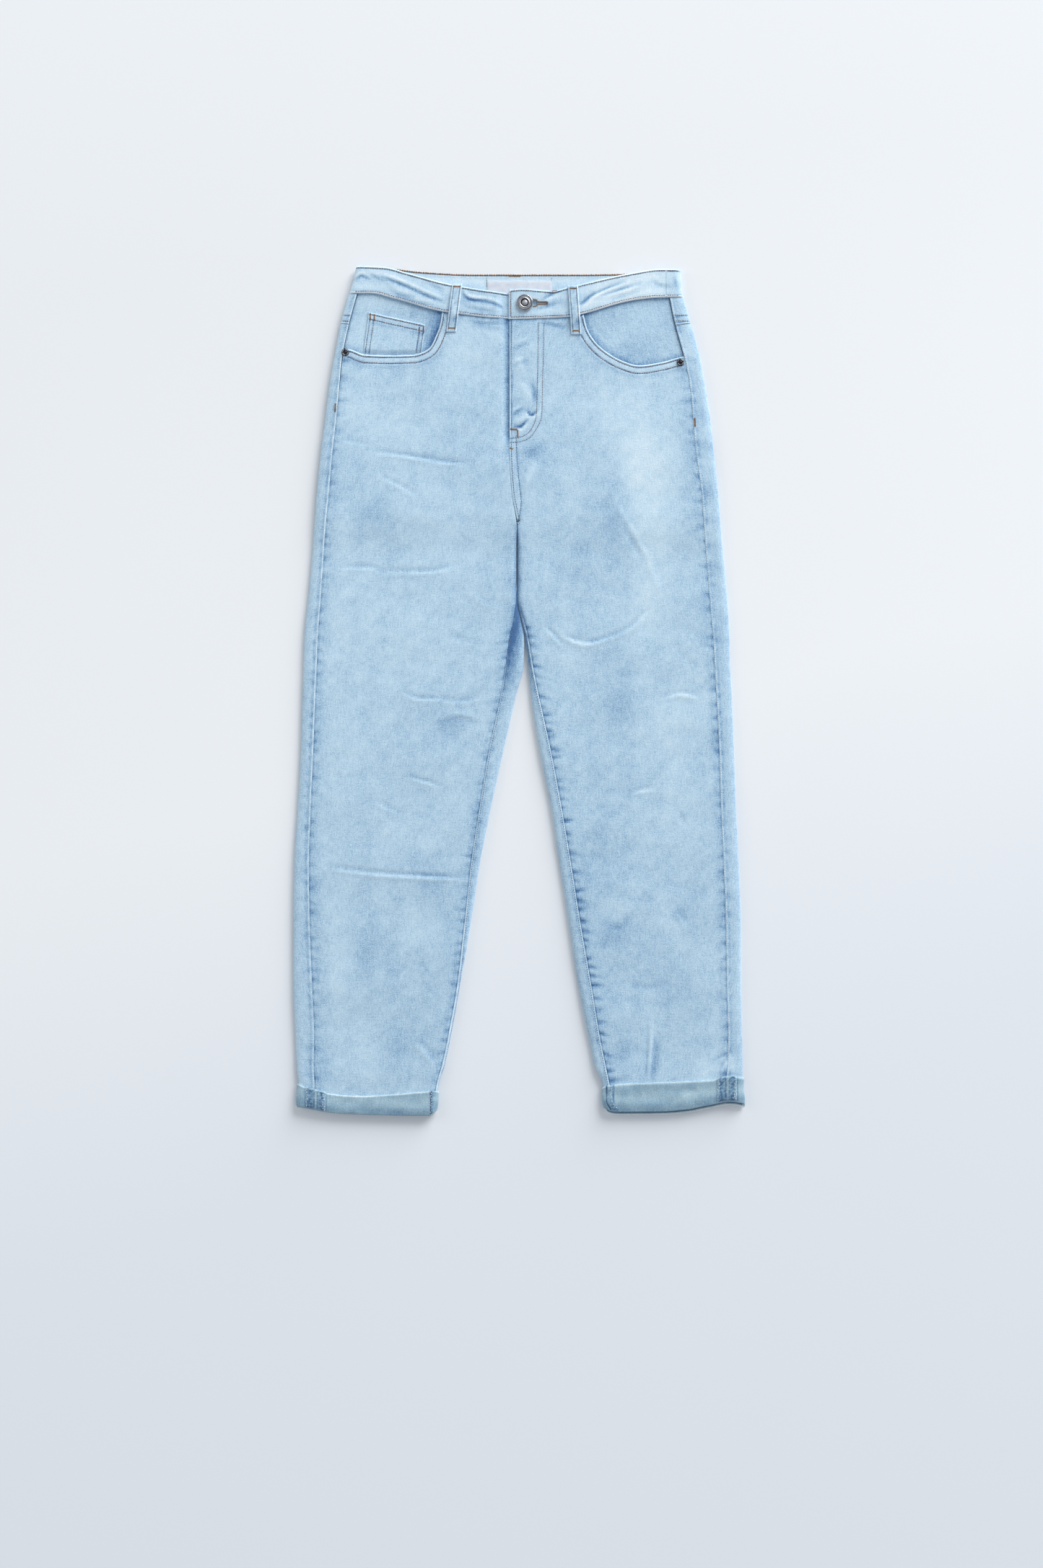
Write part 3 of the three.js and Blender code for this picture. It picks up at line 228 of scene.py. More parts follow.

# Tone over the top face, partly the denim's uneven wash and partly painted light and shade:
# (x, y, half width, half height, tone)
SHADES = [
    (-169, 203, 20, 24, -0.2), (-90, 200, 18, 50, 0.1), (-190, 330, 22, 18, 0.12),
    (-150, 305, 40, 22, 0.1), (-60, 330, 40, 50, -0.03), (-200, 240, 16, 30, -0.08),
    (-80, -34, 18, 14, -0.2), (-121, -188, 24, 16, -0.16), (-97, -220, 18, 14, -0.14),
    (-114, -170, 26, 20, 0.14), (-169, -298, 32, 40, -0.14), (-205, -300, 16, 50, 0.16),
    (-116, -274, 24, 22, 0.14), (-180, -400, 22, 40, 0.16), (-130, -400, 30, 26, -0.2),
    (-220, -430, 8, 20, -0.1), (-140, 60, 60, 40, 0.06), (-110, -60, 50, 26, -0.08),
    (140, 265, 34, 50, 0.34), (152, 190, 22, 60, 0.24), (100, 330, 40, 36, 0.16),
    (104, 215, 14, 50, -0.22), (16, 275, 14, 10, -0.35), (60, 230, 22, 40, 0.12), (60, 150, 30, 30, -0.06),
    (150, 100, 26, 40, 0.2), (118, -14, 22, 18, -0.18), (165, -40, 34, 40, 0.18), (180, -120, 24, 60, 0.1),
    (90, -180, 24, 50, -0.1), (103, -275, 22, 18, -0.2), (108, -248, 20, 14, 0.16), (170, -262, 16, 18, 0.18),
    (182, -256, 8, 10, -0.2), (150, -330, 60, 30, -0.1), (200, -300, 20, 40, 0.12),
    (120, -410, 16, 20, -0.16), (210, -430, 14, 12, 0.14), (60, 40, 20, 30, 0.12),
    (44, -60, 16, 40, -0.08), (-130, 180, 60, 70, 0.09),
    (-140, -60, 60, 40, 0.08),
    (150, -60, 60, 60, -0.09), (150, -280, 70, 70, -0.1), (-200, 0, 20, 200, 0.08),
    (242, -423, 5, 6, 0.8), (235, -434, 7, 4, -0.5), (-58, 385, 34, 40, 0.16),
]

# Folds squeezed into the fly above its end, and others near the waist, with painted shade in the folds and
# painted highlight on their ridges: as the creases
FLY_FOLDS = [
    ((-8, 301.6), (1, 303), (10, 311.5), 1.9, -0.9, -0.6, -1.4),
    ((8, 322), (14, 316), (20.5, 322), 2.0, -0.8, -0.6, -1.3),
    ((-6, 310), (2, 312), (9, 317), 2.8, 0.7, 0.5, 0.35),
    ((-8, 316), (-2, 321), (6, 325), 2.2, -0.4, 0.6, -0.7),
    ((15, 354), (17, 342), (18, 328), 3.2, -0.35, -0.5, -0.7),
    ((-7, 372), (0, 376), (8, 378), 2.6, -0.4, 0.6, -0.5),
    ((-7, 392), (2, 396), (12, 400), 3.0, -0.4, 0.6, -0.35),
    ((2, 356), (6, 346), (8, 334), 4.0, 0.5, 0.4, 0.3),
    ((-4, 386), (2, 372), (6, 362), 4.0, 0.4, 0.4, 0.3),
    ((24, 422), (42, 419), (54, 417), 2.4, -0.5, 0.6, -0.5),
    ((-60, 424), (-40, 421), (-16, 421), 3.0, -0.5, 0.7, -0.5),
    ((-52, 418), (-30, 415), (-16, 414), 2.4, -0.3, 0.6, -0.3),
]

# Diagonal folds of the waistband, with painted shade in them and painted highlight beside them
BAND_FOLDS = [
    ((-187, 470), (-180, 475), (-170, 471), 2.2, -0.5, 0.7, -0.6),
    ((-176, 478), (-165, 474), (-152, 468), 2.4, -0.4, 0.7, -0.35),
    ((-160, 475), (-138, 467), (-112, 456), 2.2, -0.7, 0.9, -0.6),
    ((-120, 459), (-104, 452), (-86, 445), 2.4, -0.7, 0.9, -0.6),
    ((-150, 460), (-135, 453), (-118, 449), 3.4, -0.5, 0.6, -0.5),
    ((-128, 447), (-112, 444), (-98, 441), 2.2, -0.3, 0.6, -0.3),
    ((-104, 468), (-94, 462), (-84, 458), 3.0, -0.4, 0.6, -0.35),
    ((-66, 457), (-58, 449), (-38, 446), 2.0, -0.7, 0.9, -0.8),
    ((-44, 448), (-30, 444), (-18, 438), 2.0, -0.6, 0.8, -0.5),
    ((-62, 440), (-46, 437), (-26, 434), 2.4, -0.4, 0.7, -0.35),
    ((24, 446), (34, 452), (46, 457), 2.2, -0.45, -0.8, -0.5),
    ((18, 436), (32, 440), (46, 446), 3.0, -0.35, -0.6, -0.3),
    ((67, 441), (74, 445), (84, 453), 2.4, -0.6, -0.7, -0.7),
    ((74, 448), (94, 458), (122, 469), 1.9, -0.7, -1.0, -0.65),
    ((92, 452), (112, 458), (138, 466), 2.0, -0.6, -0.9, -0.5),
    ((100, 446), (120, 452), (140, 458), 3.0, -0.3, -0.7, -0.3),
    ((150, 470), (160, 464), (174, 462), 3.0, -0.35, 0.7, -0.3),
    ((176, 476), (178, 466), (181, 458), 2.6, -0.3, 0.6, -0.3),
]


# Small maths
def mix(a, b, t):
    return a + (b - a) * t


def smooth(low, high, v):
    t = np.clip((v - low) / (high - low), 0, 1)
    return t * t * (3 - 2 * t)


def bell(v, middle, width):
    return np.exp(-(((v - middle) / width) ** 2))


def rounded(distance, radius):
    """The height of a circular rounding at a distance from its edge: 0 at the edge, 1 past the radius."""
    return np.sqrt(1 - np.clip(1 - distance / radius, 0, 1) ** 2)


def curve(points):
    """A curve through (place, value) points with no overshoot, as a function."""
    knots, values = np.array(sorted(points), float).T
    run = np.diff(knots)
    slope = np.diff(values) / run
    product = slope[:-1] * slope[1:]
    total = np.where(product > 0, slope[:-1] + slope[1:], 1)
    tangent = np.concatenate([slope[:1], np.where(product > 0, 2 * product / total, 0), slope[-1:]])

    def read(place):
        place = np.clip(place, knots[0], knots[-1])
        i = np.clip(np.searchsorted(knots, place, side="right") - 1, 0, len(run) - 1)
        t = (place - knots[i]) / run[i]
        a, b = (2 * t**3 - 3 * t**2 + 1) * values[i], (3 * t**2 - 2 * t**3) * values[i + 1]
        return a + b + run[i] * ((t**3 - 2 * t**2 + t) * tangent[i] + (t**3 - t**2) * tangent[i + 1])

    return read


def straight(points):
    knots, values = np.array(points, float).T
    return lambda place: np.interp(place, knots, values)


def table(columns, rows):
    """Curves by column name, read at a y."""
    return {name: curve([(row[0], row[i]) for row in rows]) for i, name in enumerate(columns) if i}


LEGS = {side: table(LEG_COLUMNS, rows) for side, rows in LEG_ROWS.items()}
STACK = table(STACK_COLUMNS, STACK_ROWS)
BAND_BOTTOM = {
    "left": curve(LEFT_BAND_BOTTOM), "right": curve(RIGHT_BAND_BOTTOM), "back": straight(BACK_BAND_BOTTOM),
}
BAND_UPPER = {"left": curve(LEFT_BAND_TOP), "right": curve(RIGHT_BAND_TOP), "back": curve(BACK_BAND_TOP)}


def smoothed(points, count):
    """Evenly spaced points along a smooth line through the points given."""
    points = np.array(points, float)
    lengths = np.concatenate([[0], np.cumsum(np.hypot(*np.diff(points, axis=0).T))])
    at = np.linspace(0, lengths[-1], 8 * count)
    fine = np.array([curve(list(zip(lengths, points[:, axis])))(at) for axis in (0, 1)]).T
    return evenly(fine, count)


def evenly(points, count):
    points = np.array(points, float)
    lengths = np.concatenate([[0], np.cumsum(np.linalg.norm(np.diff(points, axis=0), axis=1))])
    at = np.linspace(0, lengths[-1], count)
    return np.array([np.interp(at, lengths, points[:, axis]) for axis in range(points.shape[1])]).T


def from_line(x, y, line):
    """Distance from a line of (x, y) points, the share of the way along it, and the side: 1 on its left."""
    line = np.array(line, float)
    lengths = np.concatenate([[0], np.cumsum(np.hypot(*np.diff(line, axis=0).T))])
    best = np.full(np.shape(x), 1e9)
    along = np.zeros(np.shape(x))
    side = np.ones(np.shape(x))
    for i, (a, b) in enumerate(zip(line[:-1], line[1:])):
        run = b - a
        t = np.clip(((x - a[0]) * run[0] + (y - a[1]) * run[1]) / (run @ run), 0, 1)
        away = np.hypot(x - a[0] - t * run[0], y - a[1] - t * run[1])
        nearer = away < best
        best = np.where(nearer, away, best)
        along = np.where(nearer, (lengths[i] + t * (lengths[i + 1] - lengths[i])) / lengths[-1], along)
        left = np.sign(run[0] * (y - a[1]) - run[1] * (x - a[0]))
        side = np.where(nearer, left, side)
    return best, along, side


def creased(x, y, rows):
    """The height and tone that a table of creases gives each place."""
    height, tone = np.zeros(np.shape(x)), np.zeros(np.shape(x))
    for start, bend, end, width, rise, lean, shade in rows:
        reach = 4 * width
        low = np.minimum(np.minimum(start, bend), end) - reach
        high = np.maximum(np.maximum(start, bend), end) + reach
        near = (x > low[0]) & (x < high[0]) & (y > low[1]) & (y < high[1])
        if not near.any():
            continue
        line = smoothed([start, bend, end], 9)
        away, along, side = from_line(x[near], y[near], line)
        taper = np.sin(np.pi * np.clip(0.06 + 0.88 * along, 0, 1))
        main = bell(away, 0, width) * taper
        beside = bell(away * side, 1.3 * width * np.sign(lean), width) * taper * abs(lean)
        height[near] += 0.62 * rise * (main - beside)
        # Tone along the crease and the opposite tone beside it: painted shade in troughs, painted highlight
        # on ridges, with the denim's wear
        tone[near] += shade * (main - 0.8 * beside)
    return height, tone


def shaded(x, y):
    total = np.zeros(np.shape(x))
    for across, up, half_width, half_height, tone in SHADES:
        total += 1.15 * tone * np.exp(-(((x - across) / half_width) ** 2) - ((y - up) / half_height) ** 2)
    return total


def waves(seed, count, longest, shortest):
    """A function for soft uneven swells, about 1 high, from waves in all directions."""
    draw = np.random.default_rng(seed)
    lengths = draw.uniform(shortest, longest, count)
    turn = draw.uniform(0, 2 * np.pi, count)
    phase = draw.uniform(0, 2 * np.pi, count)
    kx, ky = 2 * np.pi * np.cos(turn) / lengths, 2 * np.pi * np.sin(turn) / lengths

    def height(x, y):
        return sum(np.sin(a * x + b * y + c) for a, b, c in zip(kx, ky, phase)) / math.sqrt(count)

    return height


SWELL = waves(3, 14, 150, 60)
RUMPLE = waves(5, 18, 42, 18)


def relief(x, y):
    """Height and tone of the whole top face: creases, swells and fine rumples."""
    height, tone = creased(x, y, CREASE_ROWS)
    height = height + 0.22 * SWELL(x, y) + 0.07 * RUMPLE(x, y)
    return height, tone + shaded(x, y) + 0.05 * RUMPLE(x + 9, y)


def dimples(seed, start, end, spacing, width, reach, slant=0.35):
    """Uneven puckers along a seam: place, width, reach, slant and depth of each."""
    draw = np.random.default_rng(seed)
    place, rows = start, []
    while place < end:
        rows.append((
            place, width * draw.uniform(0.75, 1.3), reach * draw.uniform(0.65, 1.4),
            slant * draw.uniform(-1, 1), draw.uniform(0.4, 1.0),
        ))
        place += spacing * draw.uniform(0.7, 1.35)
    return rows


def dimpled(s, away, rows):
    """How deep the puckers are at a place along a seam and a distance from it."""
    total = np.zeros(np.shape(s))
    for place, width, reach, slant, depth in rows:
        near = (abs(s - place) < 3 * width + 2 * abs(slant) * reach) & (away < 2.5 * reach)
        if near.any():
            a, b = s[near], away[near]
            total[near] += depth * bell(a, place + slant * b, width) * np.exp(-((b / reach) ** 2))
    return total


# Leg sections: paths across a leg at each y, over the top face from the outseam, round the inner fold,
# along the underside and round the outer fold to the outseam again
FACE_STEPS, ARC = 40, 12


def leg_sections(side, ys):
    at = {name: read(ys)[:, None] for name, read in LEGS[side].items()}
    stack = {name: read(ys)[:, None] for name, read in STACK.items()}
    wide, seam = abs(at["inner"] - at["outer"]), abs(at["outseam"] - at["outer"])
    front = abs(at["front"] - at["outer"])
    middle = stack["height"] / 2
    roll, close = FOLD * stack["roll"], np.maximum(0.05, UNDER_FOLD * stack["close"])

    def place(q, up):
        shape = rounded(q, FOLD) * np.where(stack["roll"] < 0.02, 1, rounded(wide - q, roll))
        lowered = rounded(q, UNDER_FOLD) * rounded(wide - q, close)
        z = middle + (stack["height"] - middle) * shape if up else middle * (1 - lowered)
        return at["outer"] + INWARD[side] * q, z + stack["lift"]

    arc = np.linspace(0, np.pi / 2, ARC + 1)[None, 1:]
    face_end = np.maximum(wide - roll, np.where(stack["roll"] > 0.05, 0, front))
    parts = [
        place(mix(seam, face_end, np.linspace(0, 1, FACE_STEPS + 1)[None]), True),
        place(wide - roll * (1 - np.sin(arc)), True),
        place(wide - close * (1 - np.cos(arc)), False),
        place(mix(wide - close, UNDER_FOLD, np.array([[0.5, 1]])), False),
        place(UNDER_FOLD * (1 - np.sin(arc)), False),
        place(FOLD * (1 - np.cos(arc)), True),
        place(seam, True),
    ]
    x, z = (np.concatenate([part[i] for part in parts], axis=1) for i in (0, 1))
    lengths = lengths_across(np.stack([x, z], axis=2))
    stops = np.cumsum([FACE_STEPS, ARC, ARC, 2, ARC, ARC, 1])
    face, fold, under, flat_end, outer_end, over_end, total = (lengths[:, i] for i in stops)
    reach, roll = (wide - front)[:, 0], roll[:, 0]
    turned = face + (fold - face) * (1 - np.arccos(np.clip(1 - reach / roll, -1, 1)) / (np.pi / 2))
    front_end = np.where(reach < 0, face, np.where(reach > roll, face - (reach - roll), turned))
    return {
        "x": x, "z": z, "lengths": lengths, "fold": fold, "under": under, "flat_end": flat_end,
        "outer_end": outer_end, "over_end": over_end, "total": total,
        "front_end": np.minimum(front_end, fold - SEAM), "closed": stack["close"][:, 0],
    }


def sampled(cut, at):
    """x and z at lengths along each section."""
    rows = range(len(at))
    x = np.array([np.interp(at[i], cut["lengths"][i], cut["x"][i]) for i in rows])
    z = np.array([np.interp(at[i], cut["lengths"][i], cut["z"][i]) for i in rows])
    return x, z


def resampled(levels, values, ys):
    """Columns of a grid, given at level rows, read at each point's own y."""
    return np.array([np.interp(ys[:, j], levels, values[:, j]) for j in range(ys.shape[1])]).T


def face_height(side, x, y):
    q = abs(x - LEGS[side]["outer"](y))
    return STACK["lift"](y) + LOOP_HEIGHT / 2 * (1 + rounded(q, FOLD))


def grid_normals(points):
    across = np.gradient(points, axis=1)
    along = np.gradient(points, axis=0)
    normal = np.cross(across, along)
    return normal / np.maximum(np.linalg.norm(normal, axis=2, keepdims=True), 1e-9)


def lengths_across(points):
    steps = np.linalg.norm(np.diff(points, axis=1), axis=2)
    return np.concatenate([np.zeros((len(points), 1)), np.cumsum(steps, axis=1)], axis=1)


# Meshes from grids
ON_FLOOR = 0.02


class Cloth:
    """A sheet of cloth as a grid of points on its outer side, with the tone at each."""

    def __init__(self, points, level=None, ring=False):
        self.points = points
        self.base = points.copy()
        self.ring = ring
        self.x, self.y, self.z = (self.base[..., i] for i in range(3))
        self.across = lengths_across(points)
        self.up = lengths_across(points.transpose(1, 0, 2)).transpose(1, 0)
        self.tone = np.zeros(points.shape[:2])
        normal = grid_normals(points)
        if level is None:
            level = REST_LIFT + LOOP_HEIGHT / 2
        outward = np.sum(normal[..., 2] * (points[..., 2] - level))
        self.flip = outward < 0
        self.normal = -normal if self.flip else normal

    def shaped(self, height, tone):
        """The sheet with its outer side moved out by a height at each point, but never below the floor."""
        self.points = self.points + self.normal * height[..., None]
        self.points[..., 2] = np.maximum(self.points[..., 2], ON_FLOOR)
        self.tone = tone
        return self

    def from_sides(self):
        """The distance from the nearer side, over the cloth."""
        return np.minimum(self.across, self.across[:, -1:] - self.across)

    def quads(self):
        rows, columns = self.points.shape[:2]
        number = np.arange(rows * columns).reshape(rows, columns)
        if self.ring:
            number = np.concatenate([number, number[:, :1]], axis=1)
        a, b, c, d = number[:-1, :-1], number[:-1, 1:], number[1:, 1:], number[1:, :-1]
        faces = np.stack([a, b, c, d], axis=2).reshape(-1, 4)
        return faces[:, ::-1] if self.flip else faces

    def tree(self):
        return BVHTree.FromPolygons(self.points.reshape(-1, 3).tolist(), self.quads().tolist())

    def cut_size(self):
        """Width, length and area of the flat cut: the form before its creases."""
        base = self.base if not self.ring else np.concatenate([self.base, self.base[:, :1]], axis=1)
        width, length = lengths_across(base)[:, -1].max() * MM, self.up[-1].max() * MM
        a, b = base[1:, 1:] - base[:-1, :-1], base[1:, :-1] - base[:-1, 1:]
        area = 0.5 * np.linalg.norm(np.cross(a, b), axis=2).sum() * MM * MM
        return width, length, min(area, width * length)


def new_object(name, vertices, faces, material):
    mesh = bpy.data.meshes.new(name)
    mesh.from_pydata([tuple(v) for v in vertices], [], [tuple(f) for f in faces])
    mesh.materials.append(material)
    piece = bpy.data.objects.new(name, mesh)
    bpy.context.scene.collection.objects.link(piece)
    return piece


def choose(*chosen):
    """Selects these pieces alone and makes the first one active."""
    bpy.ops.object.select_all(action="DESELECT")
    for piece in chosen:
        piece.select_set(True)
    bpy.context.view_layer.objects.active = chosen[0]


def apply_modifier(piece, kind, **settings):
    choose(piece)
    modifier = piece.modifiers.new(kind.lower(), kind)
    for key, value in settings.items():
        setattr(modifier, key, value)
    bpy.ops.object.modifier_apply(modifier=modifier.name)


# The node that a piece stands for, where it has another name, and the angles past which an edge is sharp
NODES = {"zip_tape": "zip"}
SHARP_CLOTH, SHARP_METAL = math.radians(48), math.radians(40)


def sewn_up(name, cloth, thickness, material, slot, held, rests_on):
    """The mesh of a sheet: its grid with its thickness inside, its threads and its tone."""
    piece = new_object(name, cloth.points.reshape(-1, 3) * MM, cloth.quads(), material)
    mesh = piece.data
    tone = mesh.attributes.new("tone", "FLOAT", "POINT")
    tone.data.foreach_set("value", cloth.tone.astype(np.float32).ravel())
    corners = np.empty(len(mesh.loops), int)
    mesh.loops.foreach_get("vertex_index", corners)
    thread = mesh.uv_layers.new(name="thread")
    directions = np.stack([cloth.across, cloth.y], axis=2).reshape(-1, 2)
    thread.data.foreach_set("uv", directions[corners].astype(np.float32).ravel())
    apply_modifier(piece, "SOLIDIFY", thickness=thickness * MM, offset=-1, use_even_offset=False)
    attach(piece, "root")
    piece.data.set_sharp_from_angle(angle=SHARP_CLOTH)
    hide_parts(NODES.get(name, name))
    width, length, area = cloth.cut_size()
    return piece



# Finishes
def srgb(red, green, blue):
    """A screen colour, each part 0 to 255, as the linear colour that a shader takes."""
    parts = [value / 255 for value in (red, green, blue)]
    return (*[v / 12.92 if v <= 0.04045 else ((v + 0.055) / 1.055) ** 2.4 for v in parts], 1)


class Value:
    """A socket in a finish. Python's operators on it add Math nodes."""

    def __init__(self, finish, socket):
        self.finish = finish
        self.socket = socket

    def __add__(self, other):
        return self.finish.maths("ADD", self, other)

    def __sub__(self, other):
        return self.finish.maths("SUBTRACT", self, other)

    def __mul__(self, other):
        return self.finish.maths("MULTIPLY", self, other)

    def __rsub__(self, other):
        return self.finish.maths("SUBTRACT", other, self)

    __radd__ = __add__
    __rmul__ = __mul__


class Finish:
    """A material, built node by node."""

    def __init__(self, name, **constants):
        self.material = bpy.data.materials.new(name)
        self.material.use_nodes = True
        self.tree = self.material.node_tree
        self.shader = self.tree.nodes["Principled BSDF"]
        for socket, value in constants.items():
            self.shader.inputs[socket.replace("_", " ")].default_value = value

    def add(self, kind, settings=None, values=None, output=0):
        """A node by its type, with its settings made first, then the values or links of its sockets."""
        node = self.tree.nodes.new("ShaderNode" + kind)
        for key, value in (settings or {}).items():
            setattr(node, key, value)
        for socket, value in (values or {}).items():
            if isinstance(value, Value):
                self.tree.links.new(value.socket, node.inputs[socket])
            else:
                node.inputs[socket].default_value = value
        return Value(self, node.outputs[output])

    def maths(self, operation, *values):
        return self.add("Math", {"operation": operation}, dict(enumerate(values)))

    def on_object(self):
        return self.add("TexCoord", output=3)

    def on_thread(self):
        return self.add("UVMap", {"uv_map": "thread"})

    def tone(self):
        return self.add("Attribute", {"attribute_name": "tone"}, output=2)

    def part(self, vector, axis):
        return self.add("SeparateXYZ", {}, {0: vector}, output=axis)

    def noise(self, place, size, detail=2.0, stretch=(1, 1, 1)):
        """Noise about 0, with features of a size in millimetres on threads, or metres on the object."""
        scaled = self.add("Mapping", {}, {"Vector": place, "Scale": tuple(s / size for s in stretch)})
        return self.add("TexNoise", {}, {"Vector": scaled, "Scale": 1.0, "Detail": detail}) - 0.5

    def ramp(self, value, stops):
        """A colour along a ramp of (place, colour) stops."""
        node = self.add("ValToRGB", {}, {0: value}).socket.node
        elements = node.color_ramp.elements
        while len(elements) < len(stops):
            elements.new(0.5)
        for element, (place, colour) in zip(elements, stops):
            element.position = place
            element.color = srgb(*colour)
        return Value(self, node.outputs[0])

    def feed(self, socket, value):
        self.tree.links.new(value.socket, self.shader.inputs[socket])

    def bump(self, height, distance, strength=1.0):
        values = {"Height": height, "Distance": distance, "Strength": strength}
        self.feed("Normal", self.add("Bump", {}, values))


TWILL = 1.1  # from one twill line to the next, in millimetres


def denim_finish(name, stops, depth=1.0, rough=0.92):
    """Washed denim: tone from the cloth, clouds, mottling, warp streaks and slubs, with a twill bump."""
    f = Finish(name, Roughness=rough, Sheen_Weight=0.25, Sheen_Roughness=0.6, Specular_IOR_Level=0.25)
    thread, place, tone = f.on_thread(), f.on_object(), f.tone()
    clouds = f.noise(place, 0.12, 2.0)
    streaks = f.noise(place, 0.016, 2.0, (1, 0.14, 1))
    mottle = f.noise(thread, 9.0, 3.0)
    warp = f.noise(thread, 1.6, 1.0, (1, 0.18, 1))
    weft = f.noise(thread, 1.8, 1.0, (0.25, 1, 1))
    grain = f.noise(thread, 1.25, 2.0)
    # The tone attribute carries the washed and worn tone and the painted light and shade
    value = 0.5 + tone * 0.5 + (clouds * 0.18 + streaks * 0.16 + mottle * 0.18) * depth
    value = value + (warp * 0.26 + weft * 0.18 + grain * 0.64) * depth
    f.feed("Base Color", f.ramp(value, stops))
    slanting = f.part(thread, 0) * 0.8 + f.part(thread, 1) * 0.6
    lines = f.maths("SINE", (slanting + mottle * 0.5) * (2 * math.pi / TWILL))
    f.bump(lines * 0.5 + grain * 1.2 + weft * 0.8, 0.00012, 0.4)
    return f.material


# Denim colours by tone, outside and inside. The dark ends give painted shade as well as the wash's deep blue,
# the pale ends painted highlights as well as worn, faded cloth
WASH_AND_SHADE = [
    (0.0, (58, 100, 148)), (0.22, (113, 151, 187)), (0.42, (157, 189, 214)), (0.58, (181, 209, 228)),
    (0.8, (206, 226, 239)), (1.0, (233, 241, 247)),
]
INSIDE = [
    (0.0, (62, 96, 132)), (0.25, (106, 142, 170)), (0.5, (148, 178, 194)), (0.75, (184, 206, 217)),
    (1.0, (226, 236, 242)),
]


def thread_finish(name, light, dark):
    """Twisted sewing thread, uneven in colour."""
    f = Finish(name, Roughness=0.75, Sheen_Weight=0.2, Specular_IOR_Level=0.3)
    place = f.on_object()
    value = 0.5 + f.noise(place, 0.004, 2.0) * 1.6 + f.noise(place, 0.0006, 1.0) * 0.8
    f.feed("Base Color", f.ramp(value, [(0.2, dark), (0.8, light)]))
    f.bump(f.noise(place, 0.00035, 1.0), 0.0001, 0.6)
    return f.material


def metal_finish(name, light, dark, rough, wear_size):
    """Metal, unevenly dark and light, with rubbed, uneven polish."""
    f = Finish(name, Metallic=1.0)
    place = f.on_object()
    worn = f.noise(place, wear_size, 3.0)
    f.feed("Base Color", f.ramp(0.5 + worn * 1.4, [(0.1, dark), (0.9, light)]))
    f.feed("Roughness", rough + worn * 0.2)
    f.bump(f.noise(place, wear_size / 3, 2.0), 0.00004, 0.5)
    return f.material


RIB = 0.5  # from one rib of the label to the next
SATIN = [(0.0, (150, 160, 176)), (0.45, (200, 208, 220)), (1.0, (236, 240, 246))]
# Floor colours from the waist's end to the hems': painted light falloff
FLOOR_TONES = [(0.0, (226, 230, 234)), (0.45, (233, 237, 241)), (0.8, (224, 230, 237))]


def label_finish():
    f = Finish("label_satin", Roughness=0.45, Sheen_Weight=0.3)
    thread = f.on_thread()
    ribs = f.maths("SINE", f.part(thread, 1) * (2 * math.pi / RIB))
    value = 0.5 + f.noise(thread, 6.0, 2.0) * 0.5 + f.tone()
    f.feed("Base Color", f.ramp(value, SATIN))
    f.bump(ribs, 0.00005, 0.5)
    return f.material


def floor_finish():
    """Pale paper, palest near the middle, darker to the waist and cooler to the hems: painted light falloff.
    """
    f = Finish("pale_floor", Roughness=0.9, Specular_IOR_Level=0.15)
    place = f.on_object()
    down = f.part(place, 1) * -1.0 + f.part(place, 0) * 0.25 + f.noise(place, 0.5, 2.0) * 0.25
    f.feed("Base Color", f.ramp(down * 0.75 + 0.42, FLOOR_TONES))
    return f.material


DENIM = denim_finish("washed_denim", WASH_AND_SHADE)
DENIM_INSIDE = denim_finish("denim_inside", INSIDE, depth=0.8)
THREAD_GREY = thread_finish("thread_grey_brown", (138, 120, 114), (78, 66, 70))
THREAD_BROWN = thread_finish("thread_golden_brown", (166, 128, 92), (104, 78, 60))
THREAD_BLUE = thread_finish("thread_blue", (106, 124, 152), (56, 74, 106))
THREAD_PALE = thread_finish("thread_pale", (206, 222, 234), (160, 186, 208))
THREAD_DARK = thread_finish("thread_dark_blue", (96, 112, 136), (44, 54, 76))
THREAD_WHITE = thread_finish("thread_white", (236, 241, 246), (176, 196, 214))
LABEL_SATIN = label_finish()
SILVER = metal_finish("antique_silver", (216, 218, 222), (138, 142, 150), 0.42, 0.002)
DARK_METAL = metal_finish("button_dark_rings", (86, 88, 96), (40, 42, 48), 0.4, 0.002)
TAPE = thread_finish("zip_tape_weave", (140, 160, 180), (110, 130, 152))
GUNMETAL = metal_finish("gunmetal", (74, 78, 86), (34, 36, 42), 0.32, 0.0015)


# Sewing
def stitch_shape():
    """One stitch, half a unit each way along x, y and up: a soft grain with a flat bottom."""
    bpy.ops.mesh.primitive_uv_sphere_add(segments=6, ring_count=4, radius=1)
    grain = bpy.context.object
    vertices = np.array([v.co for v in grain.data.vertices])[:, [2, 0, 1]]
    faces = [list(p.vertices) for p in grain.data.polygons]
    bpy.data.objects.remove(grain)
    vertices[:, 0] = np.sign(vertices[:, 0]) * abs(vertices[:, 0]) ** 0.7
    return vertices, faces


STITCH, STITCH_FACES = stitch_shape()
OVER_ALL, UNDER_ALL = 60, -40
surfaces = {}


def on_cloth(points, names, below=False):
    """Where each (x, y) meets the outermost of the named cloths, and the cloth's normals there."""
    start, way = (UNDER_ALL, 1) if below else (OVER_ALL, -1)
    places, normals = [], []
    for x, y in points:
        best, facing = None, None
        for name in names:
            hit, normal, _, _ = surfaces[name].ray_cast(Vector((x, y, start)), Vector((0, 0, way)))
            if hit is not None and (best is None or (hit.z - best.z) * way < 0):
                best, facing = hit, normal
        if best is None:
            places.append(places[-1] if places else (x, y, 0))
            normals.append(normals[-1] if normals else (0, 0, -way))
            continue
        if facing.z * way > 0:
            facing = -facing
        places.append(tuple(best))
        normals.append(tuple(facing))
    return np.array(places), np.array(normals)


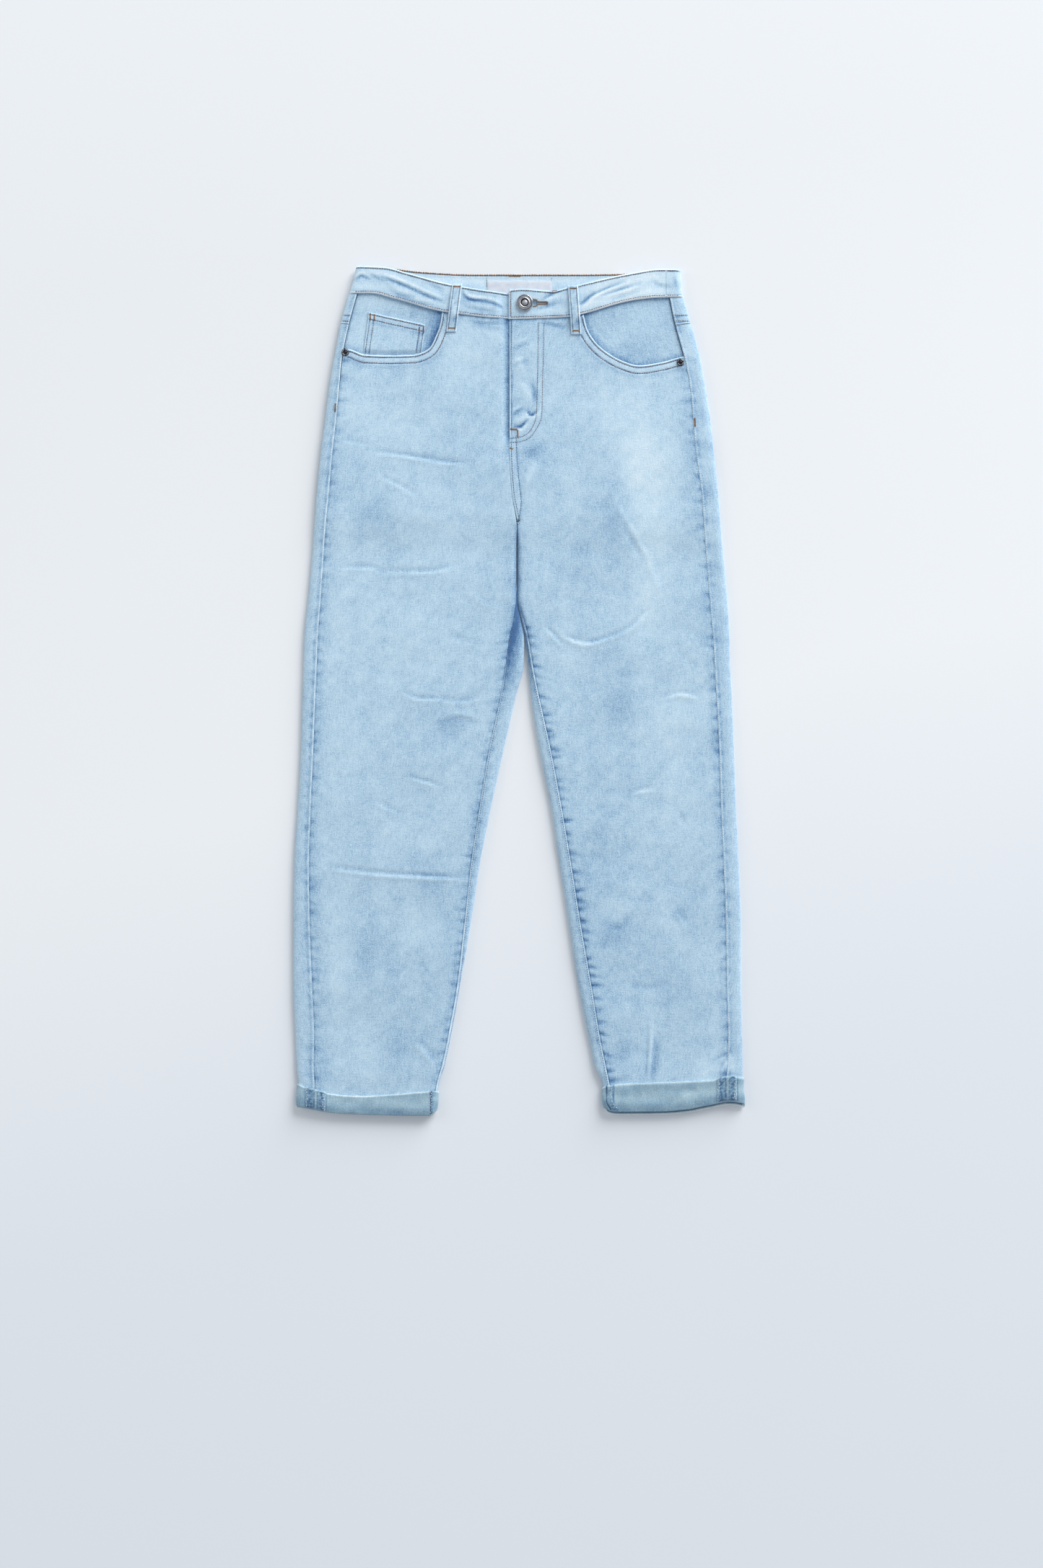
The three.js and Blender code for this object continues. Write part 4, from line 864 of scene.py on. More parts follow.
class Sewing:
    """All the stitches of one thread on one part of the garment, as one mesh."""

    def __init__(self):
        self.vertices, self.faces, self.count = [], [], 0

    def place(self, centres, ways, normals, length, width, height):
        sides = np.cross(normals, ways)
        for centre, way, side, normal in zip(centres, ways, sides, normals):
            scale = STITCH * (length / 2, width / 2, height)
            self.vertices.append(centre + scale[:, :1] * way + scale[:, 1:2] * side + scale[:, 2:] * normal)
            self.faces += [[i + self.count for i in face] for face in STITCH_FACES]
            self.count += len(STITCH)

    def line(self, points, names, pitch=2.7, length=2.4, width=1.2, height=0.4, turn=0.0, below=False,
             lift=0.0, seed=1, wander=0.07):
        """Stitches along a line on the cloth. turn sets each across the line, in degrees."""
        points = np.array(points, float)
        total = np.hypot(*np.diff(points, axis=0).T).sum()
        count = max(1, int(round(total / pitch)))
        draw = np.random.default_rng(seed)
        ends = evenly(points, 2 * count + 1)
        ends = ends + draw.normal(0, wander, ends.shape)
        places, normals = on_cloth(ends, names, below)
        places[:, 2] += 0.3 - lift if below else lift
        centres, facing = places[1::2], normals[1::2]
        ways = places[2::2] - places[:-2:2]
        ways -= np.sum(ways * facing, axis=1, keepdims=True) * facing
        ways /= np.maximum(np.linalg.norm(ways, axis=1, keepdims=True), 1e-9)
        if turn:
            angle = math.radians(turn)
            ways = ways * math.cos(angle) + np.cross(facing, ways) * math.sin(angle)
        self.place(centres, ways, facing, length, width, height)

    def bar(self, start, end, names, width=2.4, **settings):
        """A bartack: thread wound closely across a short bar."""
        self.line([start, end], names, pitch=0.62, length=width, width=0.7, height=0.62, turn=84,
                  wander=0.06, **settings)

    def made(self, name, material, slot):
        piece = new_object(name, np.concatenate(self.vertices) * MM, self.faces, material)
        for polygon in piece.data.polygons:
            polygon.use_smooth = True
        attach(piece, "root")


def beside(line, distance):
    """A line moved to its left by a distance."""
    line = np.array(line, float)
    way = np.gradient(line, axis=0)
    way /= np.linalg.norm(way, axis=1, keepdims=True)
    return line + np.stack([-way[:, 1], way[:, 0]], axis=1) * distance


# How an edge that is turned in and topstitched looks across itself
def topstitched(away, rows, rim=0.9, ridge=0.3, groove=0.34):
    """Height and tone by the distance from a turned edge with stitch rows at the distances given."""
    height = -rim * (1 - rounded(away, 1.3)) + ridge * bell(away, rows[0] / 2, 0.9)
    # The tone: a paler turned rim, and painted shade in the grooves of the stitch rows
    tone = 0.34 * bell(away, 0.9, 0.8) - 0.1 * bell(away, rows[0] + 2.2, 1.6)
    for row in rows:
        height = height - groove * bell(away, row, 0.7)
        tone = tone - 0.62 * bell(away, row, 0.8) + 0.12 * bell(away, row + 1.6, 0.7)
    return height, tone


def uneven(x, y):
    """About 1, wandering along an edge as rubbed seams do."""
    return 1 + 0.45 * RUMPLE(x * 2.4, y * 2.4)


# Front panels
UNDER_BAND = 0.8  # how far a panel goes in under the band's rolled edge
PANEL_STEP, LEG_TOP = 2.3, 470
FRONT_COLUMNS = 100
FAN_ROWS, FAN_BOTTOM = 58, 300
OPENING_STITCHES, YOKE_STITCHES = (2.5, 9.2), (2.6, 9.2)


def opening_line(side):
    """The pocket opening from the outseam to the waistband seam."""
    line = smoothed(OPENINGS[side], 120)
    inside = (line[:, 0] - LEGS[side]["outseam"](line[:, 1])) * INWARD[side] > SEAM / 2
    under = line[:, 1] < BAND_BOTTOM[side](line[:, 0]) + UNDER_BAND
    return line[inside & under]


OPENING_LINES = {side: opening_line(side) for side in INWARD}


def edge_spread(count):
    """Shares from 0 to 1, closer together near both ends."""
    t = np.linspace(0, 1, count)
    return 0.55 * t + 0.45 * (0.5 - 0.5 * np.cos(np.pi * t))


def front_grid(side):
    levels = np.arange(LEG_HEMS[side], LEG_TOP, PANEL_STEP)
    cut = leg_sections(side, levels)
    t = edge_spread(FRONT_COLUMNS)[None]
    x, z = sampled(cut, mix(0.05, (cut["front_end"] - 0.05)[:, None], t))
    if side == "left":
        x = x + TUCK * smooth(FLY_END + 6, FLY_END + 20, levels)[:, None] * smooth(0.6, 1, t)
    opening = OPENING_LINES[side]
    corner = opening[-1]
    end_x = np.interp(427, levels, x[:, -1])
    band_x = np.linspace(corner[0], end_x, 60)
    band = np.stack([band_x, BAND_BOTTOM[side](band_x) + UNDER_BAND], axis=1)
    span = [np.hypot(*np.diff(line, axis=0).T).sum() for line in (opening, band)]
    turn = int(round((FRONT_COLUMNS - 1) * span[0] / sum(span)))
    top = np.concatenate([evenly(opening, turn + 1), evenly(band, FRONT_COLUMNS - turn)[1:]])
    share = np.linspace(1, 0, FAN_ROWS)[:, None] ** 0.9
    fan_y = mix(FAN_BOTTOM, top[None, :, 1], share)
    level_y = np.repeat(levels[levels < FAN_BOTTOM - 1][::-1, None], FRONT_COLUMNS, axis=1)
    ys = np.concatenate([fan_y, level_y])
    xs, zs = resampled(levels, x, ys), resampled(levels, z, ys)
    top_x = resampled(levels, x, top[None, :, 1])[0]
    shift = np.zeros(ys.shape)
    shift[:FAN_ROWS] = share**1.6 * (top[:, 0] - top_x)[None]
    zs += face_height(side, xs + shift, ys) - face_height(side, xs, ys)
    return np.stack([xs + shift, ys, zs], axis=2)


# Rows of the fly's J-shaped stitching, from the waistband to its end, and the centre seam below it
FLY_CURVES = {
    "outer": [(28, 422), (27.5, 390), (26.5, 350), (25.8, 320), (24.6, 311), (19, 300), (11, 290), (0, 286),
              (-11, 285)],
    "inner": [(21.8, 422), (21.4, 390), (20.6, 350), (19.8, 320), (17.5, 308), (10, 296), (0, 291),
              (-11, 290)],
}
FLY_LINES = {name: smoothed(points, 60) for name, points in FLY_CURVES.items()}
FLY_STITCH = 2.6
CENTRE_STITCH = smoothed([(-3.5, 294), (-2.5, 268), (0.2, 237), (2.3, 218.5), (-0.4, 198), (-2.5, 188)], 40)


def opening_edge(side, x, y):
    """Height and tone of the turned edge of a pocket opening, with its two rows and the wear beside them."""
    away, along, _ = from_line(x, y, OPENING_LINES[side])
    height, tone = topstitched(away, OPENING_STITCHES)
    tip = smooth(0.0, 0.03, along)
    worn = 0.16 * bell(away, 5.8, 2.6) - 0.2 * bell(away, 12.5, 3.0)
    return height * tip, tone * tip * uneven(x, y) + worn


def band_seam(side, x, y):
    """Height and tone of the cloth where it dips in under the waistband, with its puckers."""
    down = BAND_BOTTOM[side](x) - y
    puckers = dimpled(x, down, dimples(11, -90, 90, 9, 2.4, 9))
    height = -0.9 * (1 - smooth(-1.0, 2.4, down)) * smooth(300, 380, y) - 0.3 * puckers
    # Painted shade under the band's edge and in the puckers
    tone = -0.55 * bell(down, -0.5, 2.6) - 0.08 * bell(down, 7, 8) * (x > -85) * (x < 70)
    return height, tone - 0.3 * puckers


def leg_seams(side, y, to_outseam, to_inner):
    """Height and tone of a front panel's puckers and grooves along its outseam and its inseam."""
    seed, strength = (21, 0.7) if side == "left" else (31, 1.0)
    low, leg, below_fly = smooth(395, 380, y), smooth(95, 70, y), smooth(FLY_END + 4, FLY_END - 6, y)
    outer = dimpled(y, to_outseam, dimples(seed, -455, 380, 14, 3.0, 6.5)) * low
    inner = dimpled(y, to_inner, dimples(seed + 1, -455, 80, 11, 2.5, 6 + 2 * strength)) * leg
    height = -0.25 * outer * low - 0.5 * strength * inner
    height = height - 0.28 * bell(to_outseam, 0, 1.1) * low - 0.3 * bell(to_inner, 0, 1.0) * below_fly
    # Painted shade in the puckers and along both seams
    tone = -0.5 * outer - (1.5 * strength - 0.5) * inner
    tone = tone - (0.26 * bell(to_outseam, 0.8, 0.9) + 0.1 * bell(to_outseam, 5, 5)) * low
    return height, tone - (0.55 * bell(to_inner, 0.2, 0.8) + 0.1 * bell(to_inner, 4, 3)) * leg


def fly_front(x, y, to_inner):
    """Height and tone of the fly's turned edge, its J-shaped grooves and the centre seam's ridge."""
    on_fly = smooth(FLY_END - 8, FLY_END + 2, y)
    height, tone = topstitched(to_inner, [FLY_STITCH], ridge=0.6)
    height, tone = height * on_fly, tone * on_fly * uneven(x, y)
    # Painted shade in the J-shaped grooves and along the centre seam
    for line in FLY_LINES.values():
        away, _, _ = from_line(x, y, line)
        height = height - 0.3 * bell(away, 0, 0.9)
        tone = tone - 0.16 * bell(away, 0, 1.2)
    away, _, way = from_line(x, y, CENTRE_STITCH)
    on_seam = smooth(292, 284, y) * smooth(186, 196, y)
    height = height + (0.3 * (way < 0) * smooth(0, 1.5, away) - 0.3 * bell(away, 0, 0.8)) * on_seam
    return height, tone - 0.25 * bell(away, 0, 1.4) * on_seam


def front_panel(side):
    cloth = Cloth(front_grid(side))
    x, y = cloth.x, cloth.y
    to_outseam, to_inner = cloth.across, cloth.across[:, -1:] - cloth.across
    height, tone = relief(x, y)
    # The fly's folds: painted shade in them and painted highlight on their ridges
    folds, blue = creased(x, y, FLY_FOLDS)
    flat = smooth(0.0, 9.0, abs(x - LEGS[side]["outer"](y)))
    crotch = smooth(200, 180, y) * smooth(50, 90, y)
    height = (height + folds) * flat
    # Painted shade deep in the crotch valley, along the panel's inner edge
    tone = tone + blue - (0.6 * bell(to_inner, 0, 3.4) + 0.12 * bell(to_inner, 8, 6)) * crotch
    forms = [opening_edge(side, x, y), band_seam(side, x, y), leg_seams(side, y, to_outseam, to_inner)]
    if side == "right":
        forms.append(fly_front(x, y, to_inner))
    else:
        # Painted shadow of the fly's edge on the left panel
        tone = tone - 0.75 * bell(abs(x - FLY_EDGE), 0, 4.5) * smooth(FLY_END - 30, FLY_END, y)
        lowered = smooth(FLY_END - 6, FLY_END + 5, y) * smooth(FLY_EDGE - 11, FLY_EDGE - 1.5, x)
        cloth.points[..., 2] -= LAYER * lowered
    return cloth.shaped(height + sum(form[0] for form in forms), tone + sum(form[1] for form in forms))


# Back panels
BACK_START, BACK_STEP = 400.0, 2.6
BACK_COLUMNS = {"strip": 8, "under": 10, "flat": 46, "outer": 10, "over": 10, "seam": 8}


def back_lengths(cut):
    """Lengths along each section for the back panel's columns, from its inner edge to the outseam."""
    def spread(low, high, count):
        return mix(low[:, None], high[:, None], np.linspace(0, 1, count + 1)[None])[:, 1:]

    closed = cut["closed"][:, None]
    start = mix(cut["under"] + SEAM / 2, cut["front_end"] + 0.05, cut["closed"])
    c = BACK_COLUMNS
    folded = np.concatenate([
        start[:, None], spread(start, cut["fold"], c["strip"]),
        spread(cut["fold"], cut["under"], c["under"]), spread(cut["under"], cut["flat_end"], c["flat"]),
    ], axis=1)
    opened = np.concatenate([start[:, None], spread(start, cut["flat_end"], folded.shape[1] - 1)], axis=1)
    end = np.maximum(cut["total"] - 0.05, cut["over_end"] + 0.5)
    return np.concatenate([
        mix(opened, folded, closed), spread(cut["flat_end"], cut["outer_end"], c["outer"]),
        spread(cut["outer_end"], cut["over_end"], c["over"]), spread(cut["over_end"], end, c["seam"]),
    ], axis=1)


def yoke_line(side, x):
    outer, inner = (LEGS[side][name](YOKE_SIDE) for name in ("outer", "inner"))
    across = np.clip(abs(x - outer) / abs(inner - outer), 0, 1)
    return mix(YOKE_SIDE, YOKE_CENTRE, across**YOKE_CURVE)


def met(line, levels, x):
    """The y at which each column of a level grid meets a line across it."""
    y = np.full(x.shape[1], float(YOKE_SIDE))
    for _ in range(4):
        y = line(resampled(levels, x, y[None])[0])
    return y


# Soft folds of the underside, with painted shade in them and painted highlight beside them, as the creases
BACK_FOLDS = [
    ((-210, 250), (-150, 240), (-90, 244), 5, -0.5, 0.6, -0.15),
    ((-190, 150), (-130, 142), (-70, 150), 5, -0.6, 0.6, -0.2),
    ((-220, 10), (-150, 0), (-90, 4), 5, -0.7, 0.7, -0.2),
    ((-200, -60), (-150, -66), (-100, -58), 4, -0.6, 0.6, -0.2),
    ((-230, -190), (-160, -200), (-90, -196), 5, -0.7, 0.7, -0.2),
    ((60, 110), (120, 96), (190, 104), 5, -0.7, 0.7, -0.2),
    ((50, 20), (110, 10), (180, 20), 5, -0.7, 0.7, -0.2),
    ((80, -50), (130, -58), (200, -50), 5, -0.5, 0.6, -0.15),
    ((90, -210), (150, -220), (220, -212), 5, -0.6, 0.6, -0.15),
]


def back_base(side):
    levels = np.arange(LEG_HEMS[side], LEG_TOP, PANEL_STEP)
    cut = leg_sections(side, levels)
    return levels, *sampled(cut, back_lengths(cut))


def back_surface(side, points):
    """Relief, puckers and tone of a back panel or yoke, on its underside and round its folds."""
    cloth = Cloth(points)
    x, y = cloth.x, cloth.y
    to_inner, to_outseam = cloth.across, cloth.across[:, -1:] - cloth.across
    top = smooth(2.6, 4.4, cloth.z - STACK["lift"](y))
    flat = smooth(0.0, 9.0, abs(x - LEGS[side]["outer"](y)))
    height, tone = relief(x, y)
    under_height, under_tone = creased(x, y, BACK_FOLDS)
    height = height * top * flat + (under_height - 0.05 * SWELL(x, y)) * (1 - top)
    tone = tone * 0.5 * top + (under_tone + 0.1 * SWELL(x + 40, y)) * (1 - top)
    seed = 41 if side == "left" else 51
    leg = smooth(95, 70, y)
    outer_dimples = dimpled(y, to_outseam, dimples(seed, -455, 420, 15, 3.2, 7))
    inner_dimples = dimpled(y, to_inner, dimples(seed + 1, -455, 80, 13, 2.8, 6)) * leg
    height = height - 0.2 * outer_dimples - 0.22 * inner_dimples
    # Painted shade in the puckers
    tone = tone - 0.36 * outer_dimples - 0.26 * inner_dimples
    # Painted shade in the crotch, deeper on the left
    crotch = smooth(-30, 90, y) * top * bell(to_inner, 0, 14)
    tone = tone - (1.2 if side == "left" else 0.7) * crotch
    for away, share, pale in ((to_outseam, 1.0, 0.4), (to_inner, leg, 0.55)):
        height = height + share * (0.3 * bell(away, 1.3, 1.1) - 0.12 * (1 - rounded(away, 0.9)))
        tone = tone + share * uneven(x, y) * (pale * bell(away, 0.8, 0.8) - 0.2 * bell(away, 3.4, 1.6))
    # Painted light on the outer folds: paler on the left fold, darker on the right one, which faces the lamp
    fold = bell(abs(x - LEGS[side]["outer"](y)), 0, 3.5)
    tone = tone + (0.12 if side == "left" else -0.12) * fold
    # Darker mottling over the right strip: partly the denim's own mottling, partly painted shade against the
    # lamp
    if side == "right":
        tone = tone - top * smooth(60, 180, y) * (0.02 + 0.12 * SWELL(x * 2.5, y * 2.5))
    return cloth.shaped(height, tone)


def back_panel(side):
    levels, x, z = back_base(side)
    tops = met(lambda at: yoke_line(side, at), levels, x) - SEAM_EASE
    rows = np.arange(BACK_START, LEG_HEMS[side], -BACK_STEP)[:, None]
    above = np.clip((rows - FAN_BOTTOM) / (BACK_START - FAN_BOTTOM), 0, 1)
    ys = rows + (tops[None] - BACK_START) * above
    return back_surface(side, np.stack([resampled(levels, x, ys), ys, resampled(levels, z, ys)], axis=2))


def yoke(side):
    levels, x, z = back_base(side)
    tops = met(BAND_BOTTOM["back"], levels, x) - SEAM_EASE
    bottoms = met(lambda at: yoke_line(side, at), levels, x)
    ys = mix(tops[None], bottoms[None], np.linspace(0, 1, 26)[:, None])
    cloth = back_surface(side, np.stack([resampled(levels, x, ys), ys, resampled(levels, z, ys)], axis=2))
    height, tone = topstitched(cloth.y - bottoms[None], YOKE_STITCHES, rim=0.5)
    return cloth.shaped(height, cloth.tone + tone)


# Waistband
BAND_STITCH = 2.3
BAND_SHARES = np.linspace(0, 1, 24)[:, None]
BAND_FOLD_X = {side: mix(*ends, BAND_SHARES) for side, ends in BAND_SIDES.items()}


def band_place(side, q, top):
    """Points of the band, from its lower to its upper edge, at a distance q in from its fold at a side."""
    x = BAND_FOLD_X[side] + INWARD[side] * q
    edges = side if top else "back"
    y = mix(BAND_BOTTOM[edges](x), BAND_UPPER[edges](x), BAND_SHARES)
    middle, half = (BAND_TOP + REST_LIFT) / 2, (BAND_TOP - REST_LIFT) / 2
    z = middle + half * rounded(q, FOLD) if top else middle - half * rounded(q, UNDER_FOLD)
    return np.stack([x, y, z], axis=2)


def band_fold(side, from_top, to_under, top_count, under_count):
    """The band from a place on the top face round its fold at one side to a place on the underside."""
    arc = np.linspace(0, np.pi / 2, 9)[None] + 0 * BAND_SHARES
    parts = [
        (mix(from_top, FOLD, np.linspace(0, 1, top_count)[None, :-1]), True),
        (FOLD * (1 - np.sin(arc)), True), (UNDER_FOLD * (1 - np.cos(arc[:, 1:])), False),
        (mix(UNDER_FOLD, to_under, np.linspace(0, 1, under_count)[None, 1:]), False),
    ]
    return np.concatenate([band_place(side, q, top) for q, top in parts], axis=1)


def band_surface(points, has_end=True):
    """A waistband piece: turned edges with their stitching, folds, and the turned end that it starts with."""
    cloth = Cloth(points)
    x, y = cloth.x, cloth.y
    to_low, to_high = cloth.up, cloth.up[-1:] - cloth.up
    height, tone = creased(x, y, BAND_FOLDS)
    on_top = smooth(4.5, 6.5, cloth.z)
    # Tone along the band: paler over its right part and at its far left end, darker left of the middle
    rubbed = 0.08 + 0.36 * smooth(50, 90, x) * smooth(182, 160, x) + 0.08 * smooth(-84, -110, x)
    rubbed = rubbed - 0.14 * smooth(-72, -60, x) * (x < -12)
    # On the underside, the top edge's rim, which the lamp lights, is darkened: painted shade
    height, tone = height * on_top, mix(0.3 - 0.7 * bell(to_high, 0, 1.0), 1.45 * tone + rubbed, on_top)
    height = height + 0.12 * RUMPLE(x, y) * on_top
    away = np.minimum(to_low, to_high)
    if has_end:
        away = np.minimum(away, cloth.across)
    edge_height, edge_tone = topstitched(away, [BAND_STITCH])
    tone = tone + 0.12 * bell(away, 8, 4) - 0.1 * bell(away, 15, 4)
    # A painted highlight along the lower rolled edge, which faces away from the lamp
    tone = tone + (edge_tone * uneven(x, y) + 0.95 * bell(to_low, 0.8, 0.9)) * mix(0.2, 1, on_top)
    return cloth.shaped(height * smooth(0, 4, away) + edge_height, tone)


def front_band_left():
    to_under = BAND_JOIN_LEFT + 0 * BAND_SHARES
    points = band_fold("left", BAND_END_LEFT - BAND_FOLD_X["left"], to_under, 150, 24)
    points[..., 2] -= UNDER_LAP_DROP * smooth(*UNDER_LAP_STEP, points[..., 0])
    return band_surface(points)


def front_band_right():
    x = mix(BAND_END_RIGHT, BAND_JOIN_RIGHT - GAP, np.linspace(0, 1, 130))[None]
    return band_surface(band_place("right", BAND_FOLD_X["right"] - x, True))


def back_band():
    to_under = BAND_FOLD_X["right"] - (BAND_FOLD_X["left"] + BAND_JOIN_LEFT + GAP)
    points = band_fold("right", BAND_FOLD_X["right"] - BAND_JOIN_RIGHT, to_under, 14, 160)
    return band_surface(points, has_end=False)


# Facings, coin pocket and fly shield: patches one or more layers down from the top face
def patch(left, right, columns, rows, drop):
    """Points between two straight sides, each given from low to high, a drop below the top face."""
    v = np.linspace(0, 1, rows)[:, None]
    u = edge_spread(columns)[None]
    x, y = (mix(mix(left[0][i], left[1][i], v), mix(right[0][i], right[1][i], v), u) for i in (0, 1))
    return np.stack([x, y, face_height("left", x, y) - drop], axis=2)


def facing(side):
    v = np.linspace(0, 1, 44)[:, None]
    u = edge_spread(60)[None]
    y = mix(FACING_HEM, YOKE_SIDE, v) + 0 * u
    for _ in range(4):
        x = mix(LEGS[side]["outseam"](y) + INWARD[side] * SEAM / 2, FACING_INNER[side], u)
        y = mix(FACING_HEM, BAND_BOTTOM[side](x) + UNDER_BAND, v)
    cloth = Cloth(np.stack([x, y, face_height(side, x, y) - LAYER], axis=2), level=0)
    height, tone = relief(x, y)
    away, _, _ = from_line(x, y, OPENING_LINES[side])
    to_outseam = cloth.across
    outer_dimples = dimpled(y, to_outseam, dimples(61, 370, 450, 12, 3.0, 6))
    # Painted shade along the pocket opening's edge and under the waistband's edge
    tone = tone * 0.4 - 0.45 * bell(away, 0, 4.5) - 0.35 * bell(BAND_BOTTOM[side](x) - y, 0, 4)
    if side == "left":
        # Painted shade in the left opening's inner corner and under the band
        tone = tone - 0.7 * bell(x, -97, 11) * bell(y, 405, 26) - 0.2 * bell(y, 432, 8) + 0.12
    else:
        tone = tone - 0.26 * bell(x, 130, 26) * bell(y, 388, 20) - 0.06
        tone = tone + 0.2 * bell(x, 112, 14) * bell(y, 400, 18)
    # Painted shade at the outseam and in its puckers
    tone = tone - 0.4 * bell(to_outseam, 0.3, 0.9) - 0.2 * outer_dimples
    return cloth.shaped(height - 0.6 * (1 - rounded(to_outseam, 1.4)), tone)


def coin_pocket():
    drop = LAYER - GAP - COIN_CLOTH
    left, right = ([(low[0], low[1] - COIN_TUCK), high] for low, high in COIN_POCKET.values())
    cloth = Cloth(patch(left, right, 44, 38, drop), level=0)
    height, tone = relief(cloth.x, cloth.y)
    away, _, way = from_line(cloth.x, cloth.y, OPENING_LINES["left"])
    tucked = 1 - smooth(-0.5, 7, away * way)
    # Painted shade where the coin pocket runs in under the opening's edge
    height, tone = height - 1.5 * tucked, tone - 0.5 * tucked
    to_top = cloth.up[-1:] - cloth.up
    for away, rows in ((cloth.from_sides(), COIN_SIDE_ROWS), (to_top, COIN_TOP_ROWS)):
        edge_height, edge_tone = topstitched(away, rows, rim=0.5, groove=0.2)
        height, tone = height + edge_height, tone + edge_tone * uneven(cloth.x, cloth.y)
    # Painted shade just below the coin pocket's turned top hem
    return cloth.shaped(height, 0.65 * (tone - 0.35 * bell(to_top, 11, 2.5)) + 0.02)


def fly_shield():
    low, high = SHIELD["bottom"], float(BAND_BOTTOM["right"](0.0)) - GAP
    sides = [[(SHIELD[name], low), (SHIELD[name], high)] for name in ("left", "right")]
    return Cloth(patch(*sides, 20, 60, 3 * LAYER - GAP - CLOTH), level=0)


# Belt loops and back pockets
def loop_surface(points, level):
    cloth = Cloth(points, level=level)
    x, y, up = cloth.x, cloth.y, cloth.up
    ends = np.minimum(up, up[-1:] - up)
    height, tone = topstitched(cloth.from_sides(), [2.0], rim=0.5, groove=0.22)
    height = height - 0.5 * (1 - rounded(ends, 1.2)) + 0.16 * RUMPLE(x * 2, y * 2)
    tone = tone * uneven(x * 2, y) + 0.14 + 0.16 * RUMPLE(x * 3, y * 3)
    # The darker band across the loop, below the waistband's edge, is painted shade
    return cloth.shaped(height, tone + 0.25 * bell(ends, 0.5, 1.2) - 0.4 * bell(up, 12, 5))


def front_loop(side):
    bottom, top = FRONT_LOOPS[side]
    v = np.linspace(0, 1, 46)[:, None]
    x, y = (mix(bottom[i], top[i], v) for i in (0, 1))
    line = BAND_BOTTOM[side](x)
    on_band = smooth(-9, -1.5, y - line)
    z = mix(face_height(side, x, y), BAND_TOP, on_band) + GAP + LOOP_RISE * np.sin(np.pi * v) + CLOTH
    across = np.linspace(-0.5, 0.5, 15)[None] * LOOP_WIDTH
    return loop_surface(np.stack([x + across, y + 0 * across, z + 0 * across], axis=2), 0)


def flat_grid(outline_x, outline_y, z):
    return np.stack([outline_x, outline_y, np.full(outline_x.shape, float(z))], axis=2)


def back_loop(place):
    middle, top = BACK_LOOPS[place]
    v = np.linspace(0, 1, 40)[:, None]
    x = middle + np.linspace(-0.5, 0.5, 13)[None] * LOOP_WIDTH + 0 * v
    return loop_surface(flat_grid(x, top - BACK_LOOP_LENGTH * (1 - v) + 0 * x, ON_FLOOR), 10)


def back_pocket(side):
    p = BACK_POCKET
    v = np.linspace(0, 1, 60)[:, None]
    u = np.linspace(-1, 1, 54)[None]
    half = p["width"] / 2 - p["turn"] * v
    low = p["top"] - p["height"] + p["point"] * abs(u)
    x = -INWARD[side] * p["middle"] + half * u
    cloth = Cloth(flat_grid(x, mix(p["top"], low, v), ON_FLOOR), level=10)
    to_edge = np.minimum(half * (1 - abs(u)), (cloth.y - low) * 0.95)
    height, tone = topstitched(to_edge, POCKET_SIDE_ROWS, rim=0.6)
    top_height, top_tone = topstitched(p["top"] - cloth.y, POCKET_TOP_ROWS, rim=0.6)
    return cloth.shaped(height + top_height - 0.25, tone + top_tone + 0.08 * SWELL(x * 2, cloth.y * 2))


# Cuffs: the leg's own section moved out, from inside the folded edge round it and up to the hem
CUFF_COLUMNS = (96, 20, 26, 36, 26, 22, 6)
CUFF_LEVELS = (-496.0, -430, 1.0)
CUFF_FACE_ROWS, LIP_ROWS, INSIDE_ROWS = 22, 12, 5


def cuff_rings(side, levels):
    """x, z and the outward direction of the leg's section at each level, in the cuff's columns."""
    cut = leg_sections(side, levels)
    names = ("fold", "under", "flat_end", "outer_end", "over_end", "total")
    stops = [np.zeros(len(levels)), cut["lengths"][:, FACE_STEPS], *(cut[name] for name in names)]
    at = np.concatenate([
        mix(low[:, None], high[:, None], np.arange(count)[None] / count)
        for low, high, count in zip(stops[:-1], stops[1:], CUFF_COLUMNS)
    ], axis=1)
    x, z = sampled(cut, at)
    before = sampled(cut, np.maximum(at - 0.7, 0))
    after = sampled(cut, np.minimum(at + 0.7, cut["total"][:, None]))
    way_x, way_z = after[0] - before[0], after[1] - before[1]
    run = np.maximum(np.hypot(way_x, way_z), 1e-6)
    return x, z, -way_z / run * INWARD[side], way_x / run * INWARD[side]


